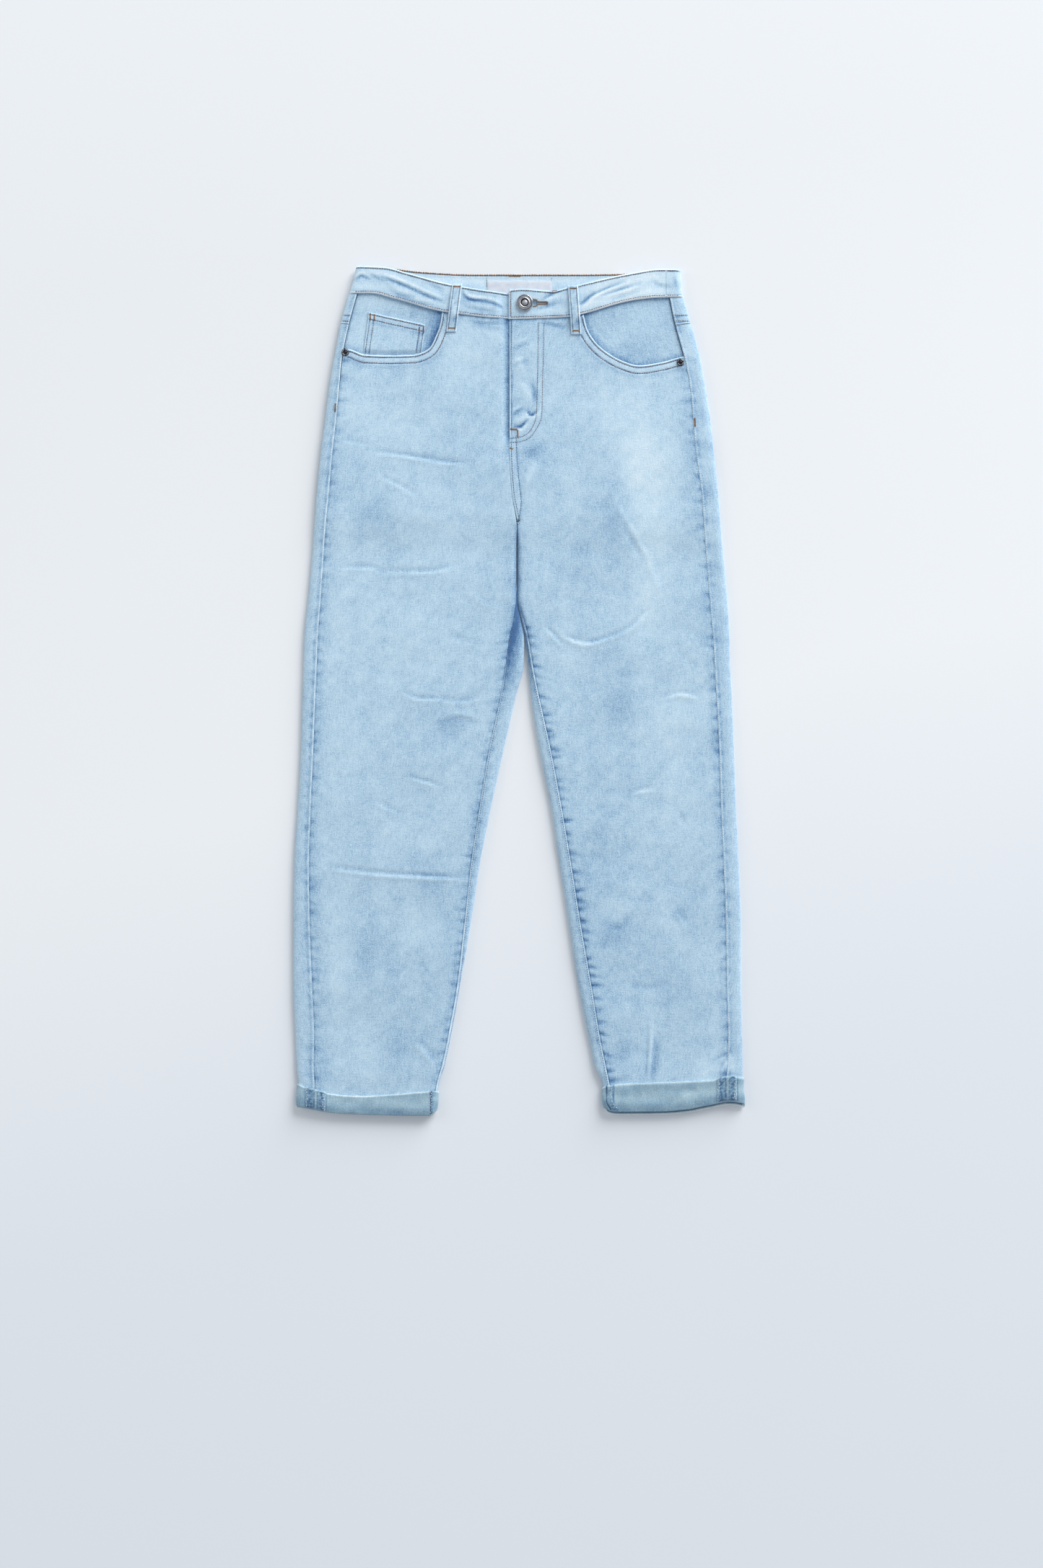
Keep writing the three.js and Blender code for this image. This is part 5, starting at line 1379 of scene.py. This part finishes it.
def cuff_form(side):
    """The bare cuff, then each point's distance up from the fold and down from the hem, the leg's own height
    there, and how far the point is on the underside."""
    spec = CUFFS[side]
    levels = np.arange(*CUFF_LEVELS)
    rings = cuff_rings(side, levels)
    hem = np.full((1, sum(CUFF_COLUMNS)), spec["bottom"][0][1])
    guide_x, guide_z = (resampled(levels, ring, hem)[0] for ring in rings[:2])
    under = 1 - smooth(HEM_LIFT + 1.5, HEM_LIFT + 4, guide_z)
    inner = abs(guide_x - (guide_x.max() if side == "left" else guide_x.min()))
    start, end = spec["outseam"]
    strip = smooth(start - 1, start + 1.5, guide_x) * (1 - smooth(end - 1.5, end + 1, guide_x))
    low = curve(spec["bottom"])(guide_x) - spec["drop"] * under + spec["rounding"] * (1 - rounded(inner, 8))
    high = curve(spec["top"])(guide_x) - 2.5 * (1 - rounded(inner, 6)) + 1.6 * strip
    turn = np.linspace(0, np.pi, LIP_ROWS)[:, None]
    lip_out = CUFF_OUT - LIP_RADIUS * (1 + np.cos(turn)) + 0 * low
    lip_y = low + LIP_RADIUS * (1 - np.sin(turn))
    inside_y = lip_y[:1] + np.linspace(9, 1.5, INSIDE_ROWS)[:, None]
    face_y = mix(low + LIP_RADIUS, high, np.linspace(0, 1, CUFF_FACE_ROWS + 1)[1:, None])
    ys = np.concatenate([inside_y, lip_y, face_y])
    out = np.concatenate([lip_out[:1] + 0 * inside_y, lip_out, CUFF_OUT + 0 * face_y])
    x, z, out_x, out_z = (resampled(levels, ring, ys) for ring in rings)
    points = np.stack([x + out_x * out, ys, z + out_z * out], axis=2)
    cloth = Cloth(points, level=HEM_LIFT + HEM_HEIGHT / 2, ring=True)
    cloth.normal = np.stack([out_x, 0 * out_x, out_z], axis=2)
    return cloth, ys - low, high - ys, z, under


def pressed_open(start, end, x, ease):
    """1 on a seam allowance that is pressed flat between two places, eased at both."""
    before, after = ease
    return smooth(start - before, start + after, x) * (1 - smooth(end - after, end + before, x))


def cuff(side):
    spec = CUFFS[side]
    cloth, up, to_high, leg_z, under = cuff_form(side)
    x, y = cloth.x, cloth.y
    outside = np.ones(y.shape)
    outside[:INSIDE_ROWS + LIP_ROWS] = 0
    on_top = smooth(HEM_LIFT + HEM_HEIGHT - 1, HEM_LIFT + HEM_HEIGHT, leg_z) * outside
    height = 0.16 * RUMPLE(x * 1.4, y * 1.4) + 0.14 * SWELL(x * 1.5, y * 6)
    height = (height + 0.7 * bell(up, 9, 7) - 0.5 * (1 - rounded(to_high, 1.0))) * outside
    tone = 0.07 * RUMPLE(x, y * 1.5) - 0.1 - 0.16 * bell(up, 4, 5) + 0.75 * bell(to_high, 0.5, 0.9)
    below = under * (1 - outside)
    # On the under layer's lip, a painted highlight near its edge and painted shade further in, under the
    # upper lip
    tone = tone + 0.12 * bell(up, 17, 5) + below * (1.1 * smooth(3.6, 2.6, up) - 1.6 * smooth(2.6, 3.6, up))
    frayed = 1 + 0.6 * RUMPLE(x * 7, y * 7)

    start, end = spec["outseam"]
    over = pressed_open(start, end, x, (0, 1.5)) * on_top
    height = height + ALLOWANCE * over
    u = (x - start) / (end - start)
    bands = 1.0 * bell(u, 0.24, 0.2) + 1.1 * bell(u, 0.8, 0.16)
    bands = bands + sum(0.4 * bell(u, share, 0.05) for share in CUFF_SEAMS)
    tone = tone - 0.66 * bands * frayed * over + 0.25 * bell(u, 0.53, 0.05) * over
    # Painted shadow just outside both edges of the raised outseam allowance
    tone = tone - (0.55 * bell(x, end + 0.6, 0.8) + 0.3 * bell(x, start - 0.6, 0.8)) * on_top

    start, end = (edge + spec["lean"] * (1 - smooth(0, 10, up)) for edge in spec["inseam"])
    over = pressed_open(start, end, x, (0.5, 1.0)) * on_top
    height = height + 0.8 * ALLOWANCE * over
    tone = tone - 0.35 * frayed * over - 1.5 * bell(x, start + 0.2, 0.9) * on_top
    if side == "right":
        # A painted shadow line just right of the inseam allowance, and a paler line to its left
        tone = tone - (1.0 * bell(x, end + 0.3, 0.7) - 0.5 * bell(x, start - 1.6, 0.8)) * on_top
    return cloth.shaped(height, tone)


def inside_label():
    u, v = np.linspace(0, 1, 40)[None], np.linspace(0, 1, 16)[:, None]
    x = mix(LABEL["left"], LABEL["right"], u) + 0 * v
    y = mix(LABEL["bottom"], LABEL["top"], v) + 0 * u
    cloth = Cloth(flat_grid(x, y, REST_LIFT + BAND + GAP + LABEL["thick"]), level=0)
    away = np.minimum.reduce([x - LABEL["left"], LABEL["right"] - x, LABEL["top"] - y, y - LABEL["bottom"]])
    height = 0.1 * SWELL(x * 3, y * 3) - 0.3 * (1 - rounded(away, 0.6))
    return cloth.shaped(height, -0.6 * bell(away, 1.0, 0.5))


# Every cloth piece: how it is made, its thickness, finish, slot, how it lies and what it lies on. A name that
# ends in _ is made for each side.
CLOTHS = [
    ("front_", front_panel, CLOTH, DENIM, "denim", "laid", ["back_", "pocket_facing_"]),
    ("back_", back_panel, CLOTH, DENIM, "denim", "folded", ["back_pocket_"]),
    ("back_yoke_", yoke, CLOTH, DENIM, "denim", "folded", ["belt_loop_back_"]),
    ("pocket_facing_", facing, CLOTH, DENIM, "denim_facing", "laid", ["back_"]),
    ("coin_pocket", coin_pocket, COIN_CLOTH, DENIM, "denim_facing", "laid", ["pocket_facing_left"]),
    ("waistband_front_left", front_band_left, BAND, DENIM, "denim", "folded", ["waistband_back"]),
    ("waistband_front_right", front_band_right, BAND, DENIM, "denim", "folded", ["waistband_front_left"]),
    ("waistband_back", back_band, BAND, DENIM, "denim", "folded", ["belt_loop_back_centre"]),
    ("fly_shield", fly_shield, CLOTH, DENIM, "denim", "laid", ["back_left", "back_right"]),
    ("cuff_", cuff, CLOTH, DENIM_INSIDE, "denim_inside", "folded", ["front_"]),
    ("back_pocket_", back_pocket, BACK_CLOTH, DENIM, "denim", "laid", ["back_"]),
    ("inside_label", inside_label, LABEL["thick"], LABEL_SATIN, "label", "laid", ["waistband_back"]),
    ("belt_loop_front_", front_loop, CLOTH, DENIM, "denim", "folded", ["waistband_front_"]),
    ("belt_loop_back_", back_loop, BACK_CLOTH, DENIM, "denim", "folded", ["waistband_back"]),
]


def ends_of(name):
    """The ends that a name in the table takes: one for each piece that is made under it."""
    if name == "belt_loop_back_":
        return BACK_LOOPS
    return INWARD if name.endswith("_") else [""]


pieces = {}
for start, make, *finish_facts, lies_on in CLOTHS:
    for end in ends_of(start):
        cloth = make(end) if end else make()
        surfaces[start + end] = cloth.tree()
        under = [name + end if name.endswith("_") else name for name in lies_on]
        pieces[start + end] = sewn_up(start + end, cloth, *finish_facts, under)


# Topstitching, seams and bartacks. A row's stitches are told from the next row's by its seed.
FINE = 0.65
SEAM_WIDTH = 0.8
UNDERSIDE = {"below": True, "pitch": 3.4, "length": 2.7}
LOOP_ROWS = (-3.8, 3.8)
CHAIN_STITCH = {"length": 2.7, "width": 2.2, "height": 0.8, "lift": BAND, "seed": 6}

# Bartacks of the top face: the piece, both ends and the width
BARS = [
    ("front_right", (-10.5, 300.4), (-2.2, 300.0), 2.2), ("front_right", (-2.0, 299.5), (-1.6, 291.5), 1.7),
    ("front_right", (-10.8, 279), (-7.4, 277.6), 2.2),
    ("waistband_front_right", (37, 457.5), (43, 458.2), 1.2),
    ("waistband_front_right", (38, 429.2), (50, 429.8), 1.2),
    ("back_left", (-209.4, 329.6), (-209.8, 319.8), 2.2), ("back_right", (199.8, 313), (200.4, 303), 2.2),
]


def band_edge(side, edge, start, end, inside):
    """A line a distance inside one edge of the waistband."""
    x = np.linspace(start, end, 60)
    line = (BAND_BOTTOM if edge == "low" else BAND_UPPER)[side](x)
    return np.stack([x, line + (inside if edge == "low" else -inside)], axis=1)


def leg_line(side, name, start, end, off):
    """A line down the leg a distance to the right of one of its columns."""
    y = np.linspace(start, end, 160)
    return np.stack([LEGS[side][name](y) + off, y], axis=1)


def band_stitching(sewing, bars):
    """The rows round the front of the waistband, and the heavy chain stitching inside its back."""
    left, right, back = ["waistband_front_left"], ["waistband_front_right"], ["waistband_back"]
    end = BAND_END_RIGHT + 2.4
    outer_left, outer_right = -187, 181.5
    for edge in ("low", "high"):
        sewing.line(band_edge("left", edge, outer_left, FLY_EDGE - 2.5, BAND_STITCH), left, seed=2)
        sewing.line(band_edge("right", edge, end, BAND_JOIN_RIGHT - 1, BAND_STITCH), right, seed=3)
        sewing.line(band_edge("right", edge, BAND_JOIN_RIGHT + 1, outer_right, BAND_STITCH), back, seed=4)
    sewing.line([(end, 459.5 - BAND_STITCH), (end, 426 + BAND_STITCH)], right, seed=5)
    bars.line(band_edge("back", "high", -148, 124, 0.8), back, **CHAIN_STITCH)
    bars.bar((-12, 475.9), (1.5, 475.9), back, width=2.6, lift=BAND)
    for edge in (LABEL["left"], LABEL["right"]):
        sewing.line([(edge - 0.6, 474.6), (edge - 0.6, 463)], back, lift=BAND, width=0.6, seed=7)


def pocket_stitching(sewing, bars):
    """The double rows along the pocket openings and on the coin pocket."""
    for side, sign in INWARD.items():
        opening = OPENING_LINES[side][4:-2]
        for row, away in enumerate(OPENING_STITCHES):
            sewing.line(beside(opening, -sign * away), ["front_" + side], seed=8 + row)
    (low_left, top_left), (low_right, top_right) = (np.array(side, float) for side in COIN_POCKET.values())
    coin = ["coin_pocket"]
    for away in COIN_TOP_ROWS:
        sewing.line([top_left + (1, -away), top_right + (-1, -away)], coin, seed=12)
    for away in COIN_SIDE_ROWS:
        sewing.line([top_left + (away, -9), low_left + (away, -6)], coin, seed=13, width=FINE)
        sewing.line([top_right + (-away, -9), low_right + (-away, -6)], coin, seed=14, width=FINE)
    for corner, way in ((top_left, 1), (top_right, -1)):
        bars.bar(corner + (way * 2.0, -1.6), corner + (way * 2.2, -9.5), coin, width=1.6)
        bars.bar(corner + (way * 6.8, -2.6), corner + (way * 6.8, -9.5), coin, width=1.4)


def fly_stitching(sewing, seams):
    """The row at the fly's edge, its two J-shaped rows and the centre seam below."""
    fly = ["front_right"]
    edge = FLY_EDGE + FLY_STITCH
    sewing.line([(edge, 425), (edge, FLY_END + 8)], fly, width=FINE, seed=15)
    for line in FLY_LINES.values():
        sewing.line(line, fly, seed=16, width=0.7)
    seams.line(CENTRE_STITCH, fly, seed=17, width=SEAM_WIDTH)
    seams.line(leg_line("right", "front", 287, 192, FLY_STITCH), fly, seed=18, width=SEAM_WIDTH)


def loop_stitching(sewing, bars):
    for side, (bottom, top) in FRONT_LOOPS.items():
        loop = ["belt_loop_front_" + side]
        for off in LOOP_ROWS:
            row = [(bottom[0] + off, bottom[1] + 2), (top[0] + off, top[1] - 2)]
            sewing.line(row, loop, width=FINE, seed=19)
        for y in (bottom[1] + 4.2, top[1] - 3.2):
            x = float(np.interp(y, [bottom[1], top[1]], [bottom[0], top[0]]))
            bars.bar((x - 4.2, y), (x + 4.2, y), loop, width=1.9)


def leg_stitching(sewing, seams, pale):
    """The yokes' rows where they come round the outer folds, the outseams and the inseams."""
    for side, sign in INWARD.items():
        panel, strip = "back_" + side, "back_yoke_" + side
        for away in YOKE_STITCHES:
            y = YOKE_SIDE + away
            start, end = LEGS[side]["outer"](y) + sign * 2.0, LEGS[side]["outseam"](y) - sign * 1.2
            sewing.line([(start, y), (end, y)], [strip], seed=20, pitch=2.4, length=1.9)
        outseam = leg_line(side, "outseam", 448, -446, -sign * 1.2)
        pale.line(outseam, [panel, strip], length=1.7, width=0.75, height=0.3, seed=21)
        inseam = leg_line(side, "front", 74, -450, sign * 1.7)
        seams.line(inseam, [panel], length=1.9, width=SEAM_WIDTH, height=0.3, seed=22)


def under_stitching(sewing, bars):
    """The topstitching of the side that lies on the surface."""
    p = BACK_POCKET
    for side, sign in INWARD.items():
        pocket = ["back_pocket_" + side]
        middle, top = -sign * p["middle"], p["top"]
        for away in POCKET_SIDE_ROWS:
            half, low = p["width"] / 2 - away, top - p["height"] + away
            outline = [(middle - half, top - 3), (middle - half + p["turn"], low + p["point"]), (middle, low),
                       (middle + half - p["turn"], low + p["point"]), (middle + half, top - 3)]
            sewing.line(outline, pocket, seed=23, **UNDERSIDE)
        half = p["width"] / 2 - 3
        for away in POCKET_TOP_ROWS:
            row = [(middle - half, top - away), (middle + half, top - away)]
            sewing.line(row, pocket, seed=24, **UNDERSIDE)
        for way in (-1, 1):
            x = middle + way * (p["width"] / 2 - 5)
            bars.bar((x - 4, top - 3), (x + 4, top - 3), pocket, below=True)
        x = np.linspace(LEGS[side]["outer"](YOKE_SIDE) + sign * 8, -2.5 - sign * 2, 50)
        for away in YOKE_STITCHES:
            row = np.stack([x, yoke_line(side, x) + away], axis=1)
            sewing.line(row, ["back_yoke_" + side], seed=25, **UNDERSIDE)
    for edge in ("low", "high"):
        sewing.line(band_edge("back", edge, -142, 176, BAND_STITCH), ["waistband_back"], seed=26, **UNDERSIDE)
    for place, (middle, top) in BACK_LOOPS.items():
        loop = ["belt_loop_back_" + place]
        bottom = top - BACK_LOOP_LENGTH
        for off in LOOP_ROWS:
            row = [(middle + off, top - 2), (middle + off, bottom + 2)]
            sewing.line(row, loop, width=FINE, seed=27, **UNDERSIDE)
        for y in (top - 4, bottom + 4):
            bars.bar((middle - 4.4, y), (middle + 4.4, y), loop, width=1.9, below=True)


def cuff_threads(white, dark):
    """Loose white overlocking along the pressed allowances of the cuffs, and the seams' stitches."""
    draw = np.random.default_rng(71)
    for side, spec in CUFFS.items():
        name = ["cuff_" + side]
        high, low = curve(spec["top"]), curve(spec["bottom"])
        start, end = spec["outseam"]
        inseam = spec["inseam"][0] + (0.4 if side == "left" else 6.0)
        for x, step, spread in ((start + 1.6, 2.2, 1.0), (end - 1.8, 1.2, 1.3), (inseam, 1.3, 0.7)):
            top, bottom = float(high(x)) - 1.0, float(low(x)) + 2.4
            for y in np.arange(bottom, top, step):
                lean = spec["lean"] * max(0, 1 - (y - bottom) / 10) if x == inseam else 0
                at = np.array([x + lean + draw.uniform(-spread, spread), y + draw.uniform(-0.5, 0.5)])
                way = draw.uniform(-1, 1, 2) + (0, 0.4)
                white.line([at, at + way], name, pitch=9, length=draw.uniform(0.7, 2.0),
                           width=draw.uniform(0.4, 0.75), height=0.4, seed=int(y * 7) % 99)
        for share in CUFF_SEAMS:
            x = mix(start, end, share)
            row = [(x, float(high(x)) - 1.5), (x, float(low(x)) + 3)]
            dark.line(row, name, pitch=2.4, length=1.9, width=0.5, seed=31)


def top_stitching(sewing, seams, pale, bars):
    band_stitching(sewing, bars)
    pocket_stitching(sewing, bars)
    fly_stitching(sewing, seams)
    loop_stitching(sewing, bars)
    leg_stitching(sewing, seams, pale)
    for name, start, end, width in BARS:
        bars.bar(start, end, [name], width=width)


# Who sews what: the function, then the name, thread and slot of each mesh of stitches that it fills
SEWN = [
    (top_stitching, [
        ("topstitching", THREAD_GREY, "denim"), ("inseam_stitches", THREAD_BLUE, "denim"),
        ("outseam_stitches", THREAD_PALE, "denim"), ("bartacks", THREAD_BROWN, "denim"),
    ]),
    (under_stitching, [
        ("back_topstitching", THREAD_GREY, "denim"), ("back_bartacks", THREAD_BROWN, "denim"),
    ]),
    (cuff_threads, [
        ("cuff_overlocking", THREAD_WHITE, "denim_inside"),
        ("cuff_seam_stitches", THREAD_DARK, "denim_inside"),
    ]),
]
for sew, meshes in SEWN:
    threads = [Sewing() for _ in meshes]
    sew(*threads)
    for thread, facts in zip(threads, meshes):
        thread.made(*facts)


# Button, buttonhole, rivets and zip
BUTTON_HEIGHT = 9.4
BUTTON_PROFILE = [
    (0, 0.3), (8.2, 0.3), (9.3, 0.8), (9.45, 1.5), (9.1, 2.3), (8.5, 2.75), (7.9, 2.7), (7.6, 2.3),
    (6.0, 2.25), (5.7, 2.7), (5.2, 2.9), (4.7, 2.7), (4.45, 1.9), (4.2, 1.6), (3.2, 1.75), (2.0, 2.2),
    (1.0, 2.35), (0, 2.4),
]
# Rings of the button in dark metal: two hollows and the top of the outer rim
DARK_RINGS = ((3.1, 4.6), (5.85, 6.3), (7.75, 8.4))
RIDGES, RIDGE_SIZE, RIDGE_RING, RIDGE_LEVEL = 44, (1.5, 0.42, 0.6), 6.95, 2.45
RIVET_PROFILE = [
    (0, -0.3), (4.2, -0.3), (4.3, 0.3), (4.1, 0.9), (3.5, 1.25), (2.9, 1.25), (2.6, 0.95), (1.9, 0.95),
    (1.7, 1.3), (1.3, 1.6), (0, 1.7),
]
RIVET_BRIGHT = {"from": 2.55, "to": 3.6, "turn": 24}
ZIP = {"left": -4, "right": 20, "bottom": 304, "top": 421, "thick": 0.7, "level": 5.6, "inset": 6}
TOOTH, TOOTH_PITCH, TEETH = (3.4, 1.0, 0.8), 1.7, 62
SLIDER, SLIDER_ROUNDING = (7, 9, 0.9), 0.3


def spun(name, profile, material, steps):
    """A turned piece: its profile of (radius, height) points spun round the upright axis."""
    bpy.ops.mesh.primitive_plane_add(size=1)
    piece = bpy.context.object
    piece.name = piece.data.name = name
    mesh = bmesh.new()
    points = [mesh.verts.new((radius * MM, 0, height * MM)) for radius, height in profile]
    for a, b in zip(points[:-1], points[1:]):
        mesh.edges.new((a, b))
    mesh.to_mesh(piece.data)
    mesh.free()
    bpy.ops.object.mode_set(mode="EDIT")
    bpy.ops.mesh.select_all(action="SELECT")
    bpy.ops.mesh.spin(steps=steps, angle=2 * math.pi, center=(0, 0, 0), axis=(0, 0, 1))
    bpy.ops.mesh.select_all(action="SELECT")
    bpy.ops.mesh.remove_doubles(threshold=0.00001)
    bpy.ops.mesh.normals_make_consistent(inside=False)
    bpy.ops.object.mode_set(mode="OBJECT")
    piece.data.materials.append(material)
    return piece


def moved(piece, place):
    """The piece with its mesh moved, so that the object itself stays at the origin."""
    piece.location = tuple(value * MM for value in place)
    choose(piece)
    bpy.ops.object.transform_apply(location=True, rotation=True, scale=True)
    return piece


def block(name, sides, place, turn=0.0):
    """A box with the lengths of its sides, turned about the upright axis."""
    bpy.ops.mesh.primitive_cube_add(size=1)
    piece = bpy.context.object
    piece.name = piece.data.name = name
    piece.scale = tuple(side * MM for side in sides)
    piece.rotation_euler = (0, 0, turn)
    return moved(piece, place)


def metal(piece, node=None):
    """A hard piece finished: smooth but for its sharp edges, riding the part's one body."""
    choose(piece)
    bpy.ops.object.shade_smooth_by_angle(angle=SHARP_METAL)
    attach(piece, "root")
    if node:
        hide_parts(node)


def button():
    x, y = BUTTON_PLACE
    shell = moved(spun("button", BUTTON_PROFILE, SILVER, 64), (x, y, BUTTON_HEIGHT))
    for polygon in shell.data.polygons:
        away = math.hypot(polygon.center.x / MM - x, polygon.center.y / MM - y)
        polygon.material_index = int(any(low < away < high for low, high in DARK_RINGS))
    shell.data.materials.append(DARK_METAL)
    metal(shell, "waist_button")
    ridges = []
    for turn in range(RIDGES):
        angle = 2 * math.pi * turn / RIDGES
        place = (x + RIDGE_RING * math.cos(angle), y + RIDGE_RING * math.sin(angle))
        ridges.append(block("button_ridges", RIDGE_SIZE, (*place, BUTTON_HEIGHT + RIDGE_LEVEL), angle))
    choose(*ridges)
    bpy.ops.object.join()
    ridges[0].data.materials.append(SILVER)
    metal(ridges[0])


def rivet(name):
    x, y = RIVET_PLACES[name]
    level = float(face_height("left", np.array(x), np.array(y)))
    cap = moved(spun(name, RIVET_PROFILE, GUNMETAL, 32), (x, y, level + 0.2))
    cap.data.materials.append(SILVER)
    for polygon in cap.data.polygons:
        away = Vector((polygon.center.x / MM - x, polygon.center.y / MM - y))
        turn = math.degrees(math.atan2(away.y, away.x)) % 90
        bright = RIVET_BRIGHT["from"] < away.length < RIVET_BRIGHT["to"] and turn > RIVET_BRIGHT["turn"]
        polygon.material_index = int(bright)
    metal(cap, name)


def buttonhole():
    """A keyhole cut through the band, a round eye by the button and a narrow slit, sewn round."""
    band = ["waistband_front_right"]
    y, eye, end, deep = BUTTON_PLACE[1], BUTTONHOLE["eye"], BUTTONHOLE["end"], BUTTONHOLE["depth"]
    bpy.ops.mesh.primitive_cylinder_add(vertices=24, radius=BUTTONHOLE["radius"] * MM, depth=deep * MM)
    round_eye = moved(bpy.context.object, (eye, y, deep))
    slit = block("slit", (end - eye, BUTTONHOLE["width"], deep), ((eye + end) / 2, y, deep))
    for cutter in (round_eye, slit):
        apply_modifier(pieces[band[0]], "BOOLEAN", operation="DIFFERENCE", object=cutter)
        bpy.data.objects.remove(cutter)
    thread = Sewing()
    for sign in (-1, 1):
        line = [(15.5, y + sign * 4.2), (19, y + sign * 3.6), (21.5, y + sign * 1.5), (end, y + sign * 1.4)]
        thread.line(smoothed(line, 40), band, pitch=0.75, length=1.9, width=0.8, height=0.5, turn=88, seed=35,
                    wander=0.05)
    thread.bar((end + 0.4, y - 1.6), (end + 0.4, y + 1.6), band, width=2.2)
    thread.made("buttonhole_thread", THREAD_BROWN, "denim")


def zip_fastener():
    """Two woven tapes as one strip, a row of teeth and the slider closed at the top. The fly hides it."""
    u, v = np.linspace(0, 1, 9)[None], np.linspace(0, 1, 40)[:, None]
    x = mix(ZIP["left"], ZIP["right"], u) + 0 * v
    tape = Cloth(flat_grid(x, mix(ZIP["bottom"], ZIP["top"], v) + 0 * u, ZIP["level"]), level=0)
    sewn_up("zip_tape", tape, ZIP["thick"], TAPE, "zip_tape", "laid", ["fly_shield"])
    middle = (ZIP["left"] + ZIP["right"]) / 2
    teeth = block("zip_teeth", TOOTH, (middle, ZIP["bottom"] + ZIP["inset"], ZIP["level"] + 0.35))
    teeth.data.materials.append(SILVER)
    apply_modifier(teeth, "ARRAY", count=TEETH, use_relative_offset=False, use_constant_offset=True,
                   constant_offset_displace=(0, TOOTH_PITCH * MM, 0))
    metal(teeth)
    slider = block("zip_slider", SLIDER, (middle, ZIP["top"] - ZIP["inset"], ZIP["level"] + 0.5))
    bpy.ops.object.mode_set(mode="EDIT")
    bpy.ops.mesh.select_all(action="SELECT")
    bpy.ops.mesh.bevel(offset=SLIDER_ROUNDING * MM, segments=2, affect="EDGES")
    bpy.ops.object.mode_set(mode="OBJECT")
    slider.data.materials.append(SILVER)
    metal(slider)


button()
for rivet_name in RIVET_PLACES:
    rivet(rivet_name)
buttonhole()
zip_fastener()


# Floor, light and camera. VIEW_HEIGHT is how much of the floor the picture's long side takes in.
VIEW_MIDDLE, VIEW_HEIGHT = (2.5, -104.1), 1787.6
CLOTH_LEVEL = 7.0
LENS, SENSOR = 50.0, 36.0
FLOOR_SIZE, FLOOR_DROP = 12, 0.0002
LIGHTS = {
    "window": ((4.8, 7.5, 3.1), 6.5, 1480, (1.0, 0.985, 0.965)),
    "far_window": ((-4.5, 1.5, 2.2), 2.5, 50, (1.0, 1.0, 1.0)),
}
SKY = {"Color": (0.94, 0.965, 1.0, 1), "Strength": 0.5}


def floor():
    bpy.ops.mesh.primitive_grid_add(
        x_subdivisions=8, y_subdivisions=8, size=FLOOR_SIZE, location=(0, 0, -FLOOR_DROP),
    )
    plane = bpy.context.object
    plane.name = "floor"
    bpy.ops.object.transform_apply(location=True)
    plane.data.materials.append(floor_finish())


def soft_light(name, place, size, power, colour):
    """A square lamp that faces the garment."""
    lamp = bpy.data.lights.new(name, "AREA")
    lamp.shape = "SQUARE"
    lamp.size = size
    lamp.energy = power
    lamp.color = colour
    holder = bpy.data.objects.new(name, lamp)
    holder.location = place
    holder.rotation_euler = (-Vector(place)).to_track_quat("-Z", "Y").to_euler()
    bpy.context.scene.collection.objects.link(holder)


def sky():
    world = bpy.data.worlds.new("room")
    bpy.context.scene.world = world
    world.use_nodes = True
    for socket, value in SKY.items():
        world.node_tree.nodes["Background"].inputs[socket].default_value = value


def camera():
    lens = bpy.data.cameras.new("camera")
    lens.lens = LENS
    lens.sensor_width = SENSOR
    holder = bpy.data.objects.new("camera", lens)
    distance = VIEW_HEIGHT * LENS / SENSOR + CLOTH_LEVEL
    holder.location = tuple(value * MM for value in (*VIEW_MIDDLE, distance))
    bpy.context.scene.collection.objects.link(holder)
    bpy.context.scene.camera = holder


floor()
for light_name, light in LIGHTS.items():
    soft_light(light_name, *light)
sky()
camera()
bpy.context.scene.view_settings.view_transform = "Standard"
